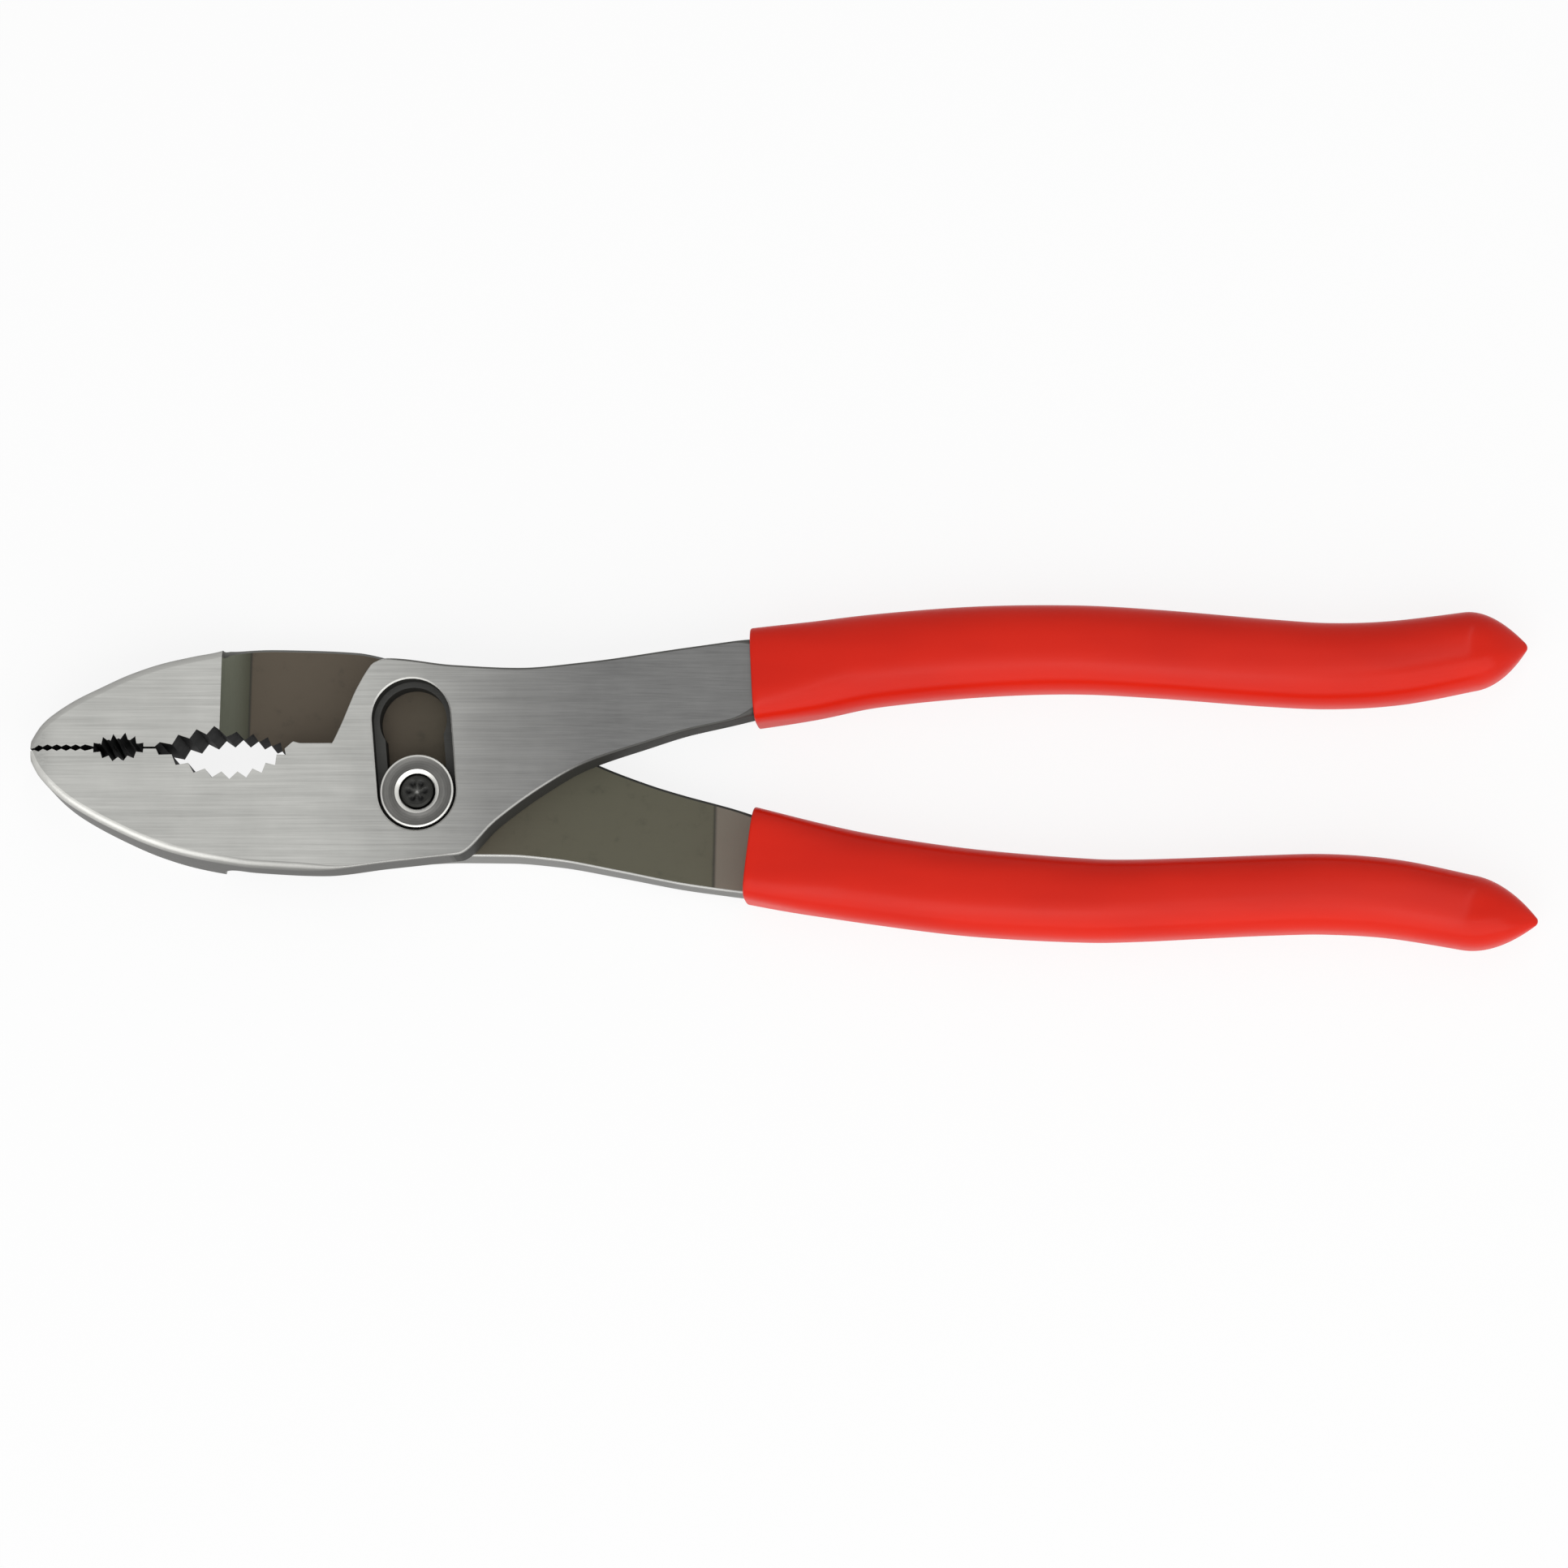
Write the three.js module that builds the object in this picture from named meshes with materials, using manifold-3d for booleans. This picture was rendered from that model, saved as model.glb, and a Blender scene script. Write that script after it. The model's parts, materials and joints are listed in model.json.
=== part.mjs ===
// Slip-joint pliers with dipped handle sleeves. Two forged halves cross at one bolt: the front half holds
// the lower jaw, the slip slot and the upper handle, the rear half the upper jaw and the lower handle.
// Millimetres, +Z up. The tool lies on its back with the jaws towards -X. The pieces are drawn with the
// bolt's axis at x = 0, y = 0, and the finished group is moved so that its box stands centred on the origin.

import * as THREE from 'three';
import { mergeVertices } from 'three/addons/utils/BufferGeometryUtils.js';
import Module from 'manifold-3d';

const wasm = await Module();
wasm.setup();

// Thicknesses and fits
const HEAD_THICKNESS = 10.4;
const LAP_GAP = 0.3;
const GRIP_THICKNESS = 10.4;
const GRIP_WALL = 1.1;
const GRIP_FIT = 0.3;
const RUNNING_FIT = 0.3;

// Places along the tool, measured from the bolt
const NOSE_X = -53.6;
const JAW_STEP_X = -27.3;
const JAW_RAMP = 3.2;
const FLAT_FACE_END_X = 12;
const ARM_RAMP_X = 40.2;
const ARM_RAMP = 9;
const SLEEVE_FRONT_X = 45.2;
const SLEEVE_BODY = 96.8;
const TANG_SHORT_OF_TAPER = 7;
const UPPER_TIP_LENGTH = 7.85;
const LOWER_TIP_LENGTH = 9.45;

// Edges
const EDGE_ROUND = 0.7;
const LAP_EDGE_ROUND = 0.25;
const ARM_EDGE_ROUND = 2.6;
const NOSE_ROUND = 1.6;
const NOSE_ROUND_RUN = 3;
const SLEEVE_LIP = 0.4;
const MOUTH_SQUARE = 0.5;
const MOUTH_SHARE = 0.15;
const SLEEVE_SQUARENESS = 2.6;
const TIP_HALF_WIDTH = 0.35;
const TIP_FULLNESS = 2.3;

// Jaw line: fine nose grip, small pocket and pipe grip
const SEAM_Y = 5.95;
const SEAM_GAP = 0.3;
const NOSE_HALF_WIDTH = 1.5;
const NOSE_GRIP_END_X = -45.1;
const NOSE_PITCH = 1.3;
const NOSE_TOOTH = 0.3;
const POCKET_END_X = -37.2;
const POCKET_DEPTH = 1.8;
const POCKET_PITCH = 1.55;
const POCKET_TOOTH = 0.65;
const PIPE_START_X = -36.7;
const PIPE_END_X = -17.5;
const PIPE_DEPTH_LOWER = 4.2;
const PIPE_DEPTH_UPPER = 3;
const PIPE_PITCH = 2.27;
const PIPE_TOOTH = 1;
const PIPE_LEAN = 1.4;
const HEEL_X = -16.2;
const HEEL_LAP = 0.7;

// Slip slot, bolt and nut
const SLIP_TRAVEL = 10.2;
const SLOT_LEAN = THREE.MathUtils.degToRad(6);
const SLOT_WIDTH = 10.8;
const SLOT_LEDGE_DEPTH = 2.45;
const SLOT_CHAMFER = 0.35;
const BOLT_DIAMETER = 8.6;
const BOLT_FLATS = 7.4;
const BOLT_END_DIAMETER = 4.4;
const BOLT_HEAD_DIAMETER = 11.6;
const BOLT_HEAD_HEIGHT = 1.8;
const BOLT_HEAD_SUNK = 0.2;
const BOLT_CHAMFER = 0.3;
const BOLT_DIMPLE_DIAMETER = 2;
const BOLT_DIMPLE_DEPTH = 0.3;
const NUT_HEIGHT = 1.85;
const NUT_CHAMFER = 0.35;

// Outline of each half as points that a smooth edge runs through. The low edge is the one nearer the
// bottom of the view, the high edge the one nearer the top. Jaw points are given from the seam.
const LOWER_JAW_EDGE = [
  [NOSE_X, NOSE_HALF_WIDTH], [-52.4, 3.5], [-49.6, 6.4], [-46.8, 8.4], [-40.9, 11.5], [-36.3, 13.45],
  [-31.7, 14.85], [-27.2, 15.75], [-21.9, 16.5], [-13, 16.9], [-4.1, 15.9], [4.8, 14.9],
];
const UPPER_JAW_EDGE = [
  [NOSE_X, NOSE_HALF_WIDTH], [-52.3, 3.15], [-49.7, 5.3], [-47.1, 6.95], [-44.4, 8.3], [-40, 10.35],
  [-35.6, 11.85], [-31.2, 12.9], [-27, 13.85], [-22.5, 14.65], [-16, 14.8], [-9.5, 14.4], [-4.1, 13.2],
  [4.8, 11.3],
];
const FRONT_DIAGONAL = [
  [6, -8.8], [10.9, -4.2], [17, 0.4], [22.6, 3.7], [31.4, 6.82], [36.3, 8.4], [42.4, 9.85],
];
const FRONT_TOP_EDGE = [
  [-11.8, SEAM_Y + HEEL_LAP], [-11.5, 7.3], [-10.45, 9.7], [-9, 13.45], [-7.75, 15.95], [-6.45, 17.75],
  [-4.6, 18.4], [4.6, 17.43], [13.5, 17.03], [22.4, 17.85], [35.7, 19.92], [42.5, 20.95],
];
const REAR_DIAGONAL = [
  [6, 16.2], [10.9, 12.8], [17, 8.7], [22.6, 5.3], [31.1, 1.9], [35.6, 0.5], [42.5, -1.4],
];
const REAR_BOTTOM_EDGE = [
  [-11.7, SEAM_Y - HEEL_LAP], [-6.1, -8], [-4.3, -8.5], [5.2, -8.1], [12, -8.15], [18.4, -8.7], [27.2, -10.3],
  [36, -12.05], [42.5, -13],
];

// Handles: rows of the share of the sleeve's body, the centre line's y and the sleeve's half width there,
// then the pointed end.
const UPPER_HANDLE = {
  rows: [
    [0, 16.5, 6.6], [0.08, 17.55, 6.5], [0.17, 18.95, 6.25], [0.31, 20.15, 6.1], [0.445, 20.45, 5.95],
    [0.565, 19.85, 5.9], [0.72, 18.6, 5.82], [0.81, 18.15, 5.72], [0.9, 18.58, 5.6], [1, 20.1, 5.25],
  ],
  tipLength: UPPER_TIP_LENGTH,
  tipY: 20.75,
};
const LOWER_HANDLE = {
  rows: [
    [0, -7.95, 6.4], [0.085, -9.73, 6.16], [0.18, -11.36, 5.95], [0.31, -13.03, 5.82], [0.45, -14, 5.62],
    [0.54, -14.1, 5.46], [0.72, -13.36, 5.32], [0.81, -13.2, 5.32], [0.9, -13.86, 5.22], [1, -15.65, 4.98],
  ],
  tipLength: LOWER_TIP_LENGTH,
  tipY: -16.95,
};

// Fineness of the facets
const STATION_STEP = 2.6;
const CORNER_STEPS = 2;
const RAMP_STEPS = 5;
const HANDLE_STEPS = 12;
const GRIP_STEPS = 20;
const GRIP_SIDES = 20;
const TIP_STEPS = 5;
const ROUND_SIDES = 32;
const WELD = 1e-5;

const MID_Z = HEAD_THICKNESS / 2;
const GRIP_PROUD = GRIP_WALL + GRIP_FIT;
const ARM_HALF_THICKNESS = GRIP_THICKNESS / 2 - GRIP_PROUD;
const ARM_START_X = ARM_RAMP_X + ARM_RAMP;
const BARE_ARM_END_X = SLEEVE_FRONT_X - GRIP_PROUD;

// Solids and meshes

/** Closed solid from a three.js geometry, with shared vertices merged and flat triangles dropped. */
function solidOf(geometry) {
  const bare = geometry.clone();
  bare.deleteAttribute('normal');
  bare.deleteAttribute('uv');
  const merged = mergeVertices(bare, WELD);
  const corners = merged.index.array;
  const triVerts = [];
  for (let i = 0; i < corners.length; i += 3) {
    const [a, b, c] = corners.subarray(i, i + 3);
    if (a !== b && b !== c && c !== a) triVerts.push(a, b, c);
  }
  const mesh = new wasm.Mesh({
    numProp: 3,
    vertProperties: new Float32Array(merged.attributes.position.array),
    triVerts: new Uint32Array(triVerts),
  });
  return new wasm.Manifold(mesh);
}

function geometryOf(solid) {
  const { vertProperties, triVerts } = solid.getMesh();
  const geometry = new THREE.BufferGeometry();
  geometry.setAttribute('position', new THREE.BufferAttribute(new Float32Array(vertProperties), 3));
  geometry.setIndex(new THREE.BufferAttribute(new Uint32Array(triVerts), 1));
  return geometry;
}

function meshOf(name, solid, colour, roughness, metalness) {
  const material = new THREE.MeshStandardMaterial({ color: colour, roughness, metalness });
  const mesh = new THREE.Mesh(geometryOf(solid), material);
  mesh.geometry.computeVertexNormals();
  mesh.name = name;
  return mesh;
}

/** Skin through rings of [x, y, z] points, each running anticlockwise seen from the last ring's end. */
function loft(rings) {
  const sides = rings[0].length;
  const index = [];
  for (let ring = 0; ring + 1 < rings.length; ring += 1) {
    for (let side = 0; side < sides; side += 1) {
      const here = ring * sides + side;
      const next = ring * sides + (side + 1) % sides;
      index.push(here, next, here + sides, next, next + sides, here + sides);
    }
  }
  const end = (rings.length - 1) * sides;
  for (let side = 1; side + 1 < sides; side += 1) {
    index.push(0, side + 1, side);
    index.push(end, end + side, end + side + 1);
  }
  const geometry = new THREE.BufferGeometry();
  geometry.setAttribute('position', new THREE.Float32BufferAttribute(rings.flat(2), 3));
  geometry.setIndex(index);
  return geometry;
}

/** Straight prism of a plan outline between two heights. */
function prism(outline, zLow, zHigh) {
  const shape = new THREE.Shape(outline.map(([x, y]) => new THREE.Vector2(x, y)));
  const geometry = new THREE.ExtrudeGeometry(shape, { depth: zHigh - zLow, bevelEnabled: false });
  return solidOf(geometry.translate(0, 0, zLow));
}

/** Turned solid: a profile of [radius, height] points about the bolt's axis. */
function turned(profile) {
  const points = profile.map(([radius, height]) => new THREE.Vector2(radius, height));
  return solidOf(new THREE.LatheGeometry(points, ROUND_SIDES).rotateX(Math.PI / 2));
}

// Curves

/** Height over x through the points, as a cubic that never overshoots them. */
function smoothEdge(points) {
  const last = points.length - 1;
  const rise = points.slice(1).map(([x, y], i) => (y - points[i][1]) / (x - points[i][0]));
  const slope = points.map((point, i) => {
    if (i === 0) return rise[0];
    if (i === last) return rise[last - 1];
    const [before, after] = [rise[i - 1], rise[i]];
    return before * after > 0 ? (2 * before * after) / (before + after) : 0;
  });
  return (x) => {
    const found = points.findIndex(([edge], i) => i < last && x <= points[i + 1][0]);
    const i = found < 0 ? last - 1 : found;
    const run = points[i + 1][0] - points[i][0];
    const u = (x - points[i][0]) / run;
    const hold = (1 + 2 * u) * (1 - u) ** 2;
    const bend = u * (1 - u) ** 2 * slope[i] - u * u * (1 - u) * slope[i + 1];
    return points[i][1] * hold + points[i + 1][1] * (1 - hold) + run * bend;
  };
}

/** Hollow ramp from 1 at its start to 0 at its end: steep at the start and running out flat. */
function ramp(x, start, run) {
  const u = THREE.MathUtils.clamp((x - start) / run, 0, 1);
  return 1 - Math.sqrt(1 - (1 - u) ** 2);
}

/** Positions along a ramp, closest where it is steepest. */
function rampStations(start, run) {
  const turn = (k) => (k / RAMP_STEPS) * (Math.PI / 2);
  return Array.from({ length: RAMP_STEPS + 1 }, (_, k) => start + run * (1 - Math.cos(turn(k))));
}

// Forged halves. Heights are measured from the middle plane towards the half's own outer face.

/** How far along the arm a place is: 0 on the flat head, 1 where the steel in the sleeve is even. */
function armShare(x) {
  return THREE.MathUtils.smoothstep(x, FLAT_FACE_END_X, ARM_START_X);
}

function outerFace(x) {
  const nose = Math.max(0, 1 - (x - NOSE_X) / NOSE_ROUND_RUN);
  return THREE.MathUtils.lerp(HEAD_THICKNESS / 2, ARM_HALF_THICKNESS, armShare(x)) - NOSE_ROUND * nose ** 2;
}

function jawRamp(x) {
  return ramp(x, JAW_STEP_X, JAW_RAMP);
}

function armRamp(x) {
  return ramp(ARM_RAMP_X + ARM_START_X - x, ARM_RAMP_X, ARM_RAMP);
}

function innerFace(x) {
  const lap = LAP_GAP / 2;
  const jaw = (outerFace(Math.min(x, 0)) + lap) * jawRamp(x);
  const arm = (ARM_HALF_THICKNESS + lap) * armRamp(x);
  return lap - jaw - arm;
}

/** The bare arm keeps the head's round, and the steel in the sleeve gets its own about the sleeve's front. */
function outerRound(x) {
  const inSleeve = THREE.MathUtils.smoothstep(x, ARM_RAMP_X, 2 * SLEEVE_FRONT_X - ARM_RAMP_X);
  return THREE.MathUtils.lerp(EDGE_ROUND, ARM_EDGE_ROUND, inSleeve);
}

function innerRound(x) {
  return THREE.MathUtils.lerp(LAP_EDGE_ROUND, outerRound(x), Math.max(jawRamp(x), armRamp(x)));
}

/** Centre line of a handle and its half width, as functions of the share t of the sleeve's body. Slices
 * near the mouth are turned part of the way towards a square cut. */
function handleLine(handle) {
  const body = handle.rows.map(([share, y, half]) => [SLEEVE_FRONT_X + share * SLEEVE_BODY, y, half]);
  const centre = new THREE.SplineCurve(body.map(([x, y]) => new THREE.Vector2(x, y)));
  const width = smoothEdge(body.map(([x, , half]) => [x, half]));
  return (t) => {
    const point = centre.getPointAt(t);
    const square = MOUTH_SQUARE * (1 - THREE.MathUtils.smoothstep(t, 0, MOUTH_SHARE));
    const along = centre.getTangentAt(t).lerp(new THREE.Vector2(1, 0), square).normalize();
    return { point, across: new THREE.Vector2(-along.y, along.x), half: width(point.x) };
  };
}

/** Pairs of low and high edge points from the nose through the arm and along the handle's steel tang. */
function stationsOf(lowPoints, highPoints, handle) {
  const low = smoothEdge(lowPoints);
  const high = smoothEdge(highPoints);
  const wanted = [...lowPoints, ...highPoints].map(([x]) => x);
  wanted.push(...rampStations(JAW_STEP_X, JAW_RAMP), ...rampStations(ARM_START_X, -ARM_RAMP));
  wanted.push(NOSE_X + NOSE_ROUND_RUN / 4, NOSE_X + NOSE_ROUND_RUN / 2, BARE_ARM_END_X);
  wanted.sort((a, b) => a - b);
  const places = [NOSE_X];
  for (const x of wanted.filter((place) => place <= BARE_ARM_END_X)) {
    const before = places.at(-1);
    if (x - before < STATION_STEP / 10) continue;
    const fill = Math.ceil((x - before) / STATION_STEP);
    for (let k = 1; k < fill; k += 1) places.push(before + ((x - before) * k) / fill);
    places.push(x);
  }
  const stations = places.map((x) => ({ low: [x, low(x)], high: [x, high(x)] }));
  const line = handleLine(handle);
  const tangShare = 1 - TANG_SHORT_OF_TAPER / SLEEVE_BODY;
  for (let k = 0; k <= HANDLE_STEPS; k += 1) {
    const { point, across, half } = line((tangShare * k) / HANDLE_STEPS);
    const steel = half - GRIP_PROUD;
    const edge = (sign) => [point.x + across.x * sign * steel, point.y + across.y * sign * steel];
    stations.push({ low: edge(-1), high: edge(1) });
  }
  return stations;
}

/** Outward plan directions of an edge: its tangent turned a quarter turn. */
function edgeDirections(edge, turn) {
  return edge.map((point, i) => {
    const [x0, y0] = edge[Math.max(i - 1, 0)];
    const [x1, y1] = edge[Math.min(i + 1, edge.length - 1)];
    const length = Math.hypot(x1 - x0, y1 - y0);
    return [(-turn * (y1 - y0)) / length, (turn * (x1 - x0)) / length];
  });
}

/** Rings of a half: each slice is a rounded bar between its two edges and its two faces. */
function halfRings(stations, faceSide, grow = 0) {
  const lows = stations.map((station) => station.low);
  const highs = stations.map((station) => station.high);
  const lowOut = edgeDirections(lows, -1);
  const highOut = edgeDirections(highs, 1);
  return stations.map((station, i) => {
    const corner = (edge, out, upper) => {
      const outer = upper === (faceSide > 0);
      const round = (outer ? outerRound(edge[0]) : innerRound(edge[0])) + grow;
      return Array.from({ length: CORNER_STEPS + 1 }, (_, k) => {
        const angle = (k / CORNER_STEPS) * (Math.PI / 2);
        const inset = round * (1 - Math.cos(angle)) - grow;
        const x = edge[0] - out[0] * inset;
        const y = edge[1] - out[1] * inset;
        const face = outer ? outerFace(x) : innerFace(x);
        const up = upper ? 1 : -1;
        return [x, y, MID_Z + faceSide * face + up * (grow - round * (1 - Math.sin(angle)))];
      });
    };
    return [
      ...corner(highs[i], highOut[i], false).reverse(),
      ...corner(highs[i], highOut[i], true),
      ...corner(lows[i], lowOut[i], true).reverse(),
      ...corner(lows[i], lowOut[i], false),
    ];
  });
}

// Jaw teeth

/** Teeth along a hollow arc from x0 to x1: roots on the arc, points one tooth height inside it. The lean
 * moves the deepest place towards x1. */
function toothedArc(x0, x1, depth, pitch, tooth, lean = 0) {
  const halfChord = (x1 - x0) / 2;
  const radius = (halfChord ** 2 + depth ** 2) / (2 * depth);
  const sweep = Math.asin(Math.min(1, halfChord / radius));
  const count = Math.max(2, Math.round((2 * sweep * radius) / pitch));
  return Array.from({ length: 2 * count + 1 }, (_, k) => {
    const angle = sweep * (k / count - 1);
    const reach = k % 2 ? radius : radius - tooth;
    const along = (x0 + x1) / 2 + reach * Math.sin(angle) + lean * (1 - (k / count - 1) ** 2);
    return [along, depth - radius + reach * Math.cos(angle)];
  }).map(([x, y]) => [THREE.MathUtils.clamp(x, x0, x1), Math.max(0, y)]);
}

/** Biting edge of a jaw from nose to heel as [x, depth into the jaw] points. */
function biteLine(pipeDepth) {
  const noseCount = Math.floor((NOSE_GRIP_END_X - NOSE_X) / NOSE_PITCH);
  const nose = [];
  for (let k = noseCount; k > 0; k -= 1) {
    const point = NOSE_GRIP_END_X - k * NOSE_PITCH;
    nose.push([point, 0], [point + NOSE_PITCH / 2, NOSE_TOOTH]);
  }
  return [
    ...nose,
    ...toothedArc(NOSE_GRIP_END_X, POCKET_END_X, POCKET_DEPTH, POCKET_PITCH, POCKET_TOOTH),
    ...toothedArc(PIPE_START_X, PIPE_END_X, pipeDepth, PIPE_PITCH, PIPE_TOOTH, PIPE_LEAN),
  ];
}

/** What the biting edge takes off a jaw: everything past the seam, teeth included. */
function biteCutter(pipeDepth, intoJaw) {
  const level = SEAM_Y + (intoJaw * SEAM_GAP) / 2;
  const clear = HEAD_THICKNESS;
  const line = biteLine(pipeDepth).map(([x, depth]) => [x, level + intoJaw * depth]);
  const outline = [
    [NOSE_X - clear, level], ...line, [HEEL_X, SEAM_Y - intoJaw * (HEEL_LAP + EDGE_ROUND)],
    [HEEL_X, SEAM_Y - intoJaw * clear], [NOSE_X - clear, SEAM_Y - intoJaw * clear],
  ];
  return prism(intoJaw > 0 ? outline.reverse() : outline, -clear, 2 * clear);
}

// Slip slot

const SLIP_DIRECTION = new THREE.Vector2(-Math.sin(SLOT_LEAN), Math.cos(SLOT_LEAN));

/** Round-ended outline along the slip direction. */
function slotOutline(width) {
  const side = SLIP_DIRECTION.angle() + Math.PI / 2;
  const half = ROUND_SIDES / 2;
  const outline = [];
  for (let end = 0; end < 2; end += 1) {
    const centre = SLIP_DIRECTION.clone().multiplyScalar(end * SLIP_TRAVEL);
    for (let k = 0; k <= half; k += 1) {
      const angle = side + Math.PI * (end + k / half);
      outline.push([centre.x + (width / 2) * Math.cos(angle), centre.y + (width / 2) * Math.sin(angle)]);
    }
  }
  return outline;
}

function slotSolid(width, zLow, zHigh) {
  return prism(slotOutline(width), zLow, zHigh);
}

/** Flare that breaks the slot's rim, carried past the face so that it cuts cleanly. */
function slotFlare() {
  const foot = HEAD_THICKNESS - SLOT_CHAMFER;
  const ringAt = (grow) => slotOutline(SLOT_WIDTH + 2 * grow).map(([x, y]) => [x, y, foot + grow]);
  return solidOf(loft([ringAt(0), ringAt(2 * SLOT_CHAMFER)]));
}

function holeAt(travel, diameter, zLow, zHigh) {
  const centre = SLIP_DIRECTION.clone().multiplyScalar(travel);
  const radius = diameter / 2;
  return turned([[0, zLow], [radius, zLow], [radius, zHigh], [0, zHigh]]).translate([centre.x, centre.y, 0]);
}

// Heights of the bolt stack
const HEAD_TOP_Z = BOLT_HEAD_SUNK + BOLT_HEAD_HEIGHT;
const LEDGE_Z = HEAD_THICKNESS - SLOT_LEDGE_DEPTH;
const NUT_LOW_Z = LEDGE_Z + RUNNING_FIT;
const NUT_TOP_Z = NUT_LOW_Z + NUT_HEIGHT;
const HOLE_DIAMETER = BOLT_DIAMETER + 2 * RUNNING_FIT;

function makeFrontHalf(stations) {
  const through = [0, 2 * HEAD_THICKNESS];
  return solidOf(loft(halfRings(stations, 1)))
    .subtract(biteCutter(PIPE_DEPTH_LOWER, -1))
    .subtract(slotSolid(SLOT_WIDTH, LEDGE_Z, through[1]))
    .subtract(slotFlare())
    .subtract(slotSolid(BOLT_FLATS + 2 * RUNNING_FIT, ...through))
    .subtract(holeAt(0, HOLE_DIAMETER, ...through))
    .subtract(holeAt(SLIP_TRAVEL, HOLE_DIAMETER, ...through));
}

function makeRearHalf(stations) {
  const headRecess = HEAD_TOP_Z + RUNNING_FIT;
  return solidOf(loft(halfRings(stations, -1)))
    .subtract(biteCutter(PIPE_DEPTH_UPPER, 1))
    .subtract(holeAt(0, HOLE_DIAMETER, -HEAD_THICKNESS, HEAD_THICKNESS))
    .subtract(holeAt(0, BOLT_HEAD_DIAMETER + 2 * RUNNING_FIT, -HEAD_THICKNESS, headRecess));
}

/** Headed bolt: round in the rear half, two flats along the slip direction in the slot, turned-down end. */
function makeBolt() {
  const head = BOLT_HEAD_DIAMETER / 2;
  const shank = BOLT_DIAMETER / 2;
  const end = BOLT_END_DIAMETER / 2;
  const dimple = BOLT_DIMPLE_DIAMETER / 2;
  const low = BOLT_HEAD_SUNK;
  const body = turned([
    [0, low], [head - BOLT_CHAMFER, low], [head, low + BOLT_CHAMFER], [head, HEAD_TOP_Z], [shank, HEAD_TOP_Z],
    [shank, LEDGE_Z], [end, LEDGE_Z], [end, NUT_TOP_Z - BOLT_CHAMFER], [end - BOLT_CHAMFER, NUT_TOP_Z],
    [dimple, NUT_TOP_Z], [dimple - BOLT_DIMPLE_DEPTH, NUT_TOP_Z - BOLT_DIMPLE_DEPTH],
    [0, NUT_TOP_Z - BOLT_DIMPLE_DEPTH],
  ]);
  const side = (sign) => {
    const slab = new THREE.BoxGeometry(BOLT_DIAMETER, 2 * BOLT_DIAMETER, HEAD_THICKNESS);
    slab.translate(sign * (BOLT_FLATS + BOLT_DIAMETER) / 2, 0, MID_Z + HEAD_THICKNESS / 2);
    return solidOf(slab.rotateZ(SLOT_LEAN));
  };
  return body.subtract(side(1)).subtract(side(-1));
}

/** Round nut that lies on the slot's ledge, with a chamfered bore round the bolt's end. */
function makeNut() {
  const outer = SLOT_WIDTH / 2 - RUNNING_FIT;
  const bore = BOLT_END_DIAMETER / 2 + RUNNING_FIT;
  return turned([
    [bore, NUT_LOW_Z], [outer, NUT_LOW_Z], [outer, NUT_TOP_Z - NUT_CHAMFER], [outer - NUT_CHAMFER, NUT_TOP_Z],
    [bore + NUT_CHAMFER, NUT_TOP_Z], [bore, NUT_TOP_Z - NUT_CHAMFER], [bore, NUT_LOW_Z],
  ]);
}

// Dipped sleeves

/** Oval slice of a sleeve, squared a little: a superellipse across the handle and through its thickness. */
function sleeveRing(point, across, halfWidth, halfHeight) {
  const squareness = 2 / SLEEVE_SQUARENESS;
  return Array.from({ length: GRIP_SIDES }, (_, k) => {
    const angle = (2 * Math.PI * k) / GRIP_SIDES;
    const bend = (value) => Math.sign(value) * Math.abs(value) ** squareness;
    const side = halfWidth * bend(Math.cos(angle));
    return [point.x + across.x * side, point.y + across.y * side, MID_Z + halfHeight * bend(Math.sin(angle))];
  });
}

function makeGrip(handle, stations, faceSide) {
  const line = handleLine(handle);
  const halfHeight = GRIP_THICKNESS / 2;
  const rings = [];
  for (let k = 0; k <= GRIP_STEPS; k += 1) {
    const { point, across, half } = line(k / GRIP_STEPS);
    const lip = k === 0 ? SLEEVE_LIP : 0;
    rings.push(sleeveRing(point, across, half - lip, halfHeight - lip));
  }
  const { point, across, half } = line(1);
  const tip = new THREE.Vector2(point.x + handle.tipLength, handle.tipY);
  const straightOn = new THREE.Vector2(across.y, -across.x).multiplyScalar(handle.tipLength / 2).add(point);
  const drip = new THREE.QuadraticBezierCurve(point, straightOn, tip);
  for (let k = 1; k <= TIP_STEPS; k += 1) {
    const share = k / TIP_STEPS;
    const narrow = 1 - (1 - TIP_HALF_WIDTH / half) * share ** TIP_FULLNESS;
    rings.push(sleeveRing(drip.getPoint(share), across, half * narrow, halfHeight * narrow));
  }
  const tang = stations.filter((station) => station.low[0] >= BARE_ARM_END_X - GRIP_PROUD);
  const hollow = halfRings(tang, faceSide, GRIP_FIT);
  hollow.push(hollow.at(-1).map(([x, y, z]) => [x + GRIP_FIT, y, z]));
  return solidOf(loft(rings)).subtract(solidOf(loft(hollow)));
}

// Assembly

const overSeam = NOSE_HALF_WIDTH - EDGE_ROUND / 2;
const fromSeam = (rows, sign) => rows.map(([x, away]) => [x, SEAM_Y + sign * away]);
const bittenEdge = (sign) => fromSeam([[NOSE_X, overSeam], [PIPE_END_X, overSeam], [HEEL_X, HEEL_LAP]], sign);
const frontStations = stationsOf(
  [...fromSeam(LOWER_JAW_EDGE, -1), ...FRONT_DIAGONAL],
  [...bittenEdge(1), ...FRONT_TOP_EDGE],
  UPPER_HANDLE,
);
const rearStations = stationsOf(
  [...bittenEdge(-1), ...REAR_BOTTOM_EDGE],
  [...fromSeam(UPPER_JAW_EDGE, 1), ...REAR_DIAGONAL],
  LOWER_HANDLE,
);

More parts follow.
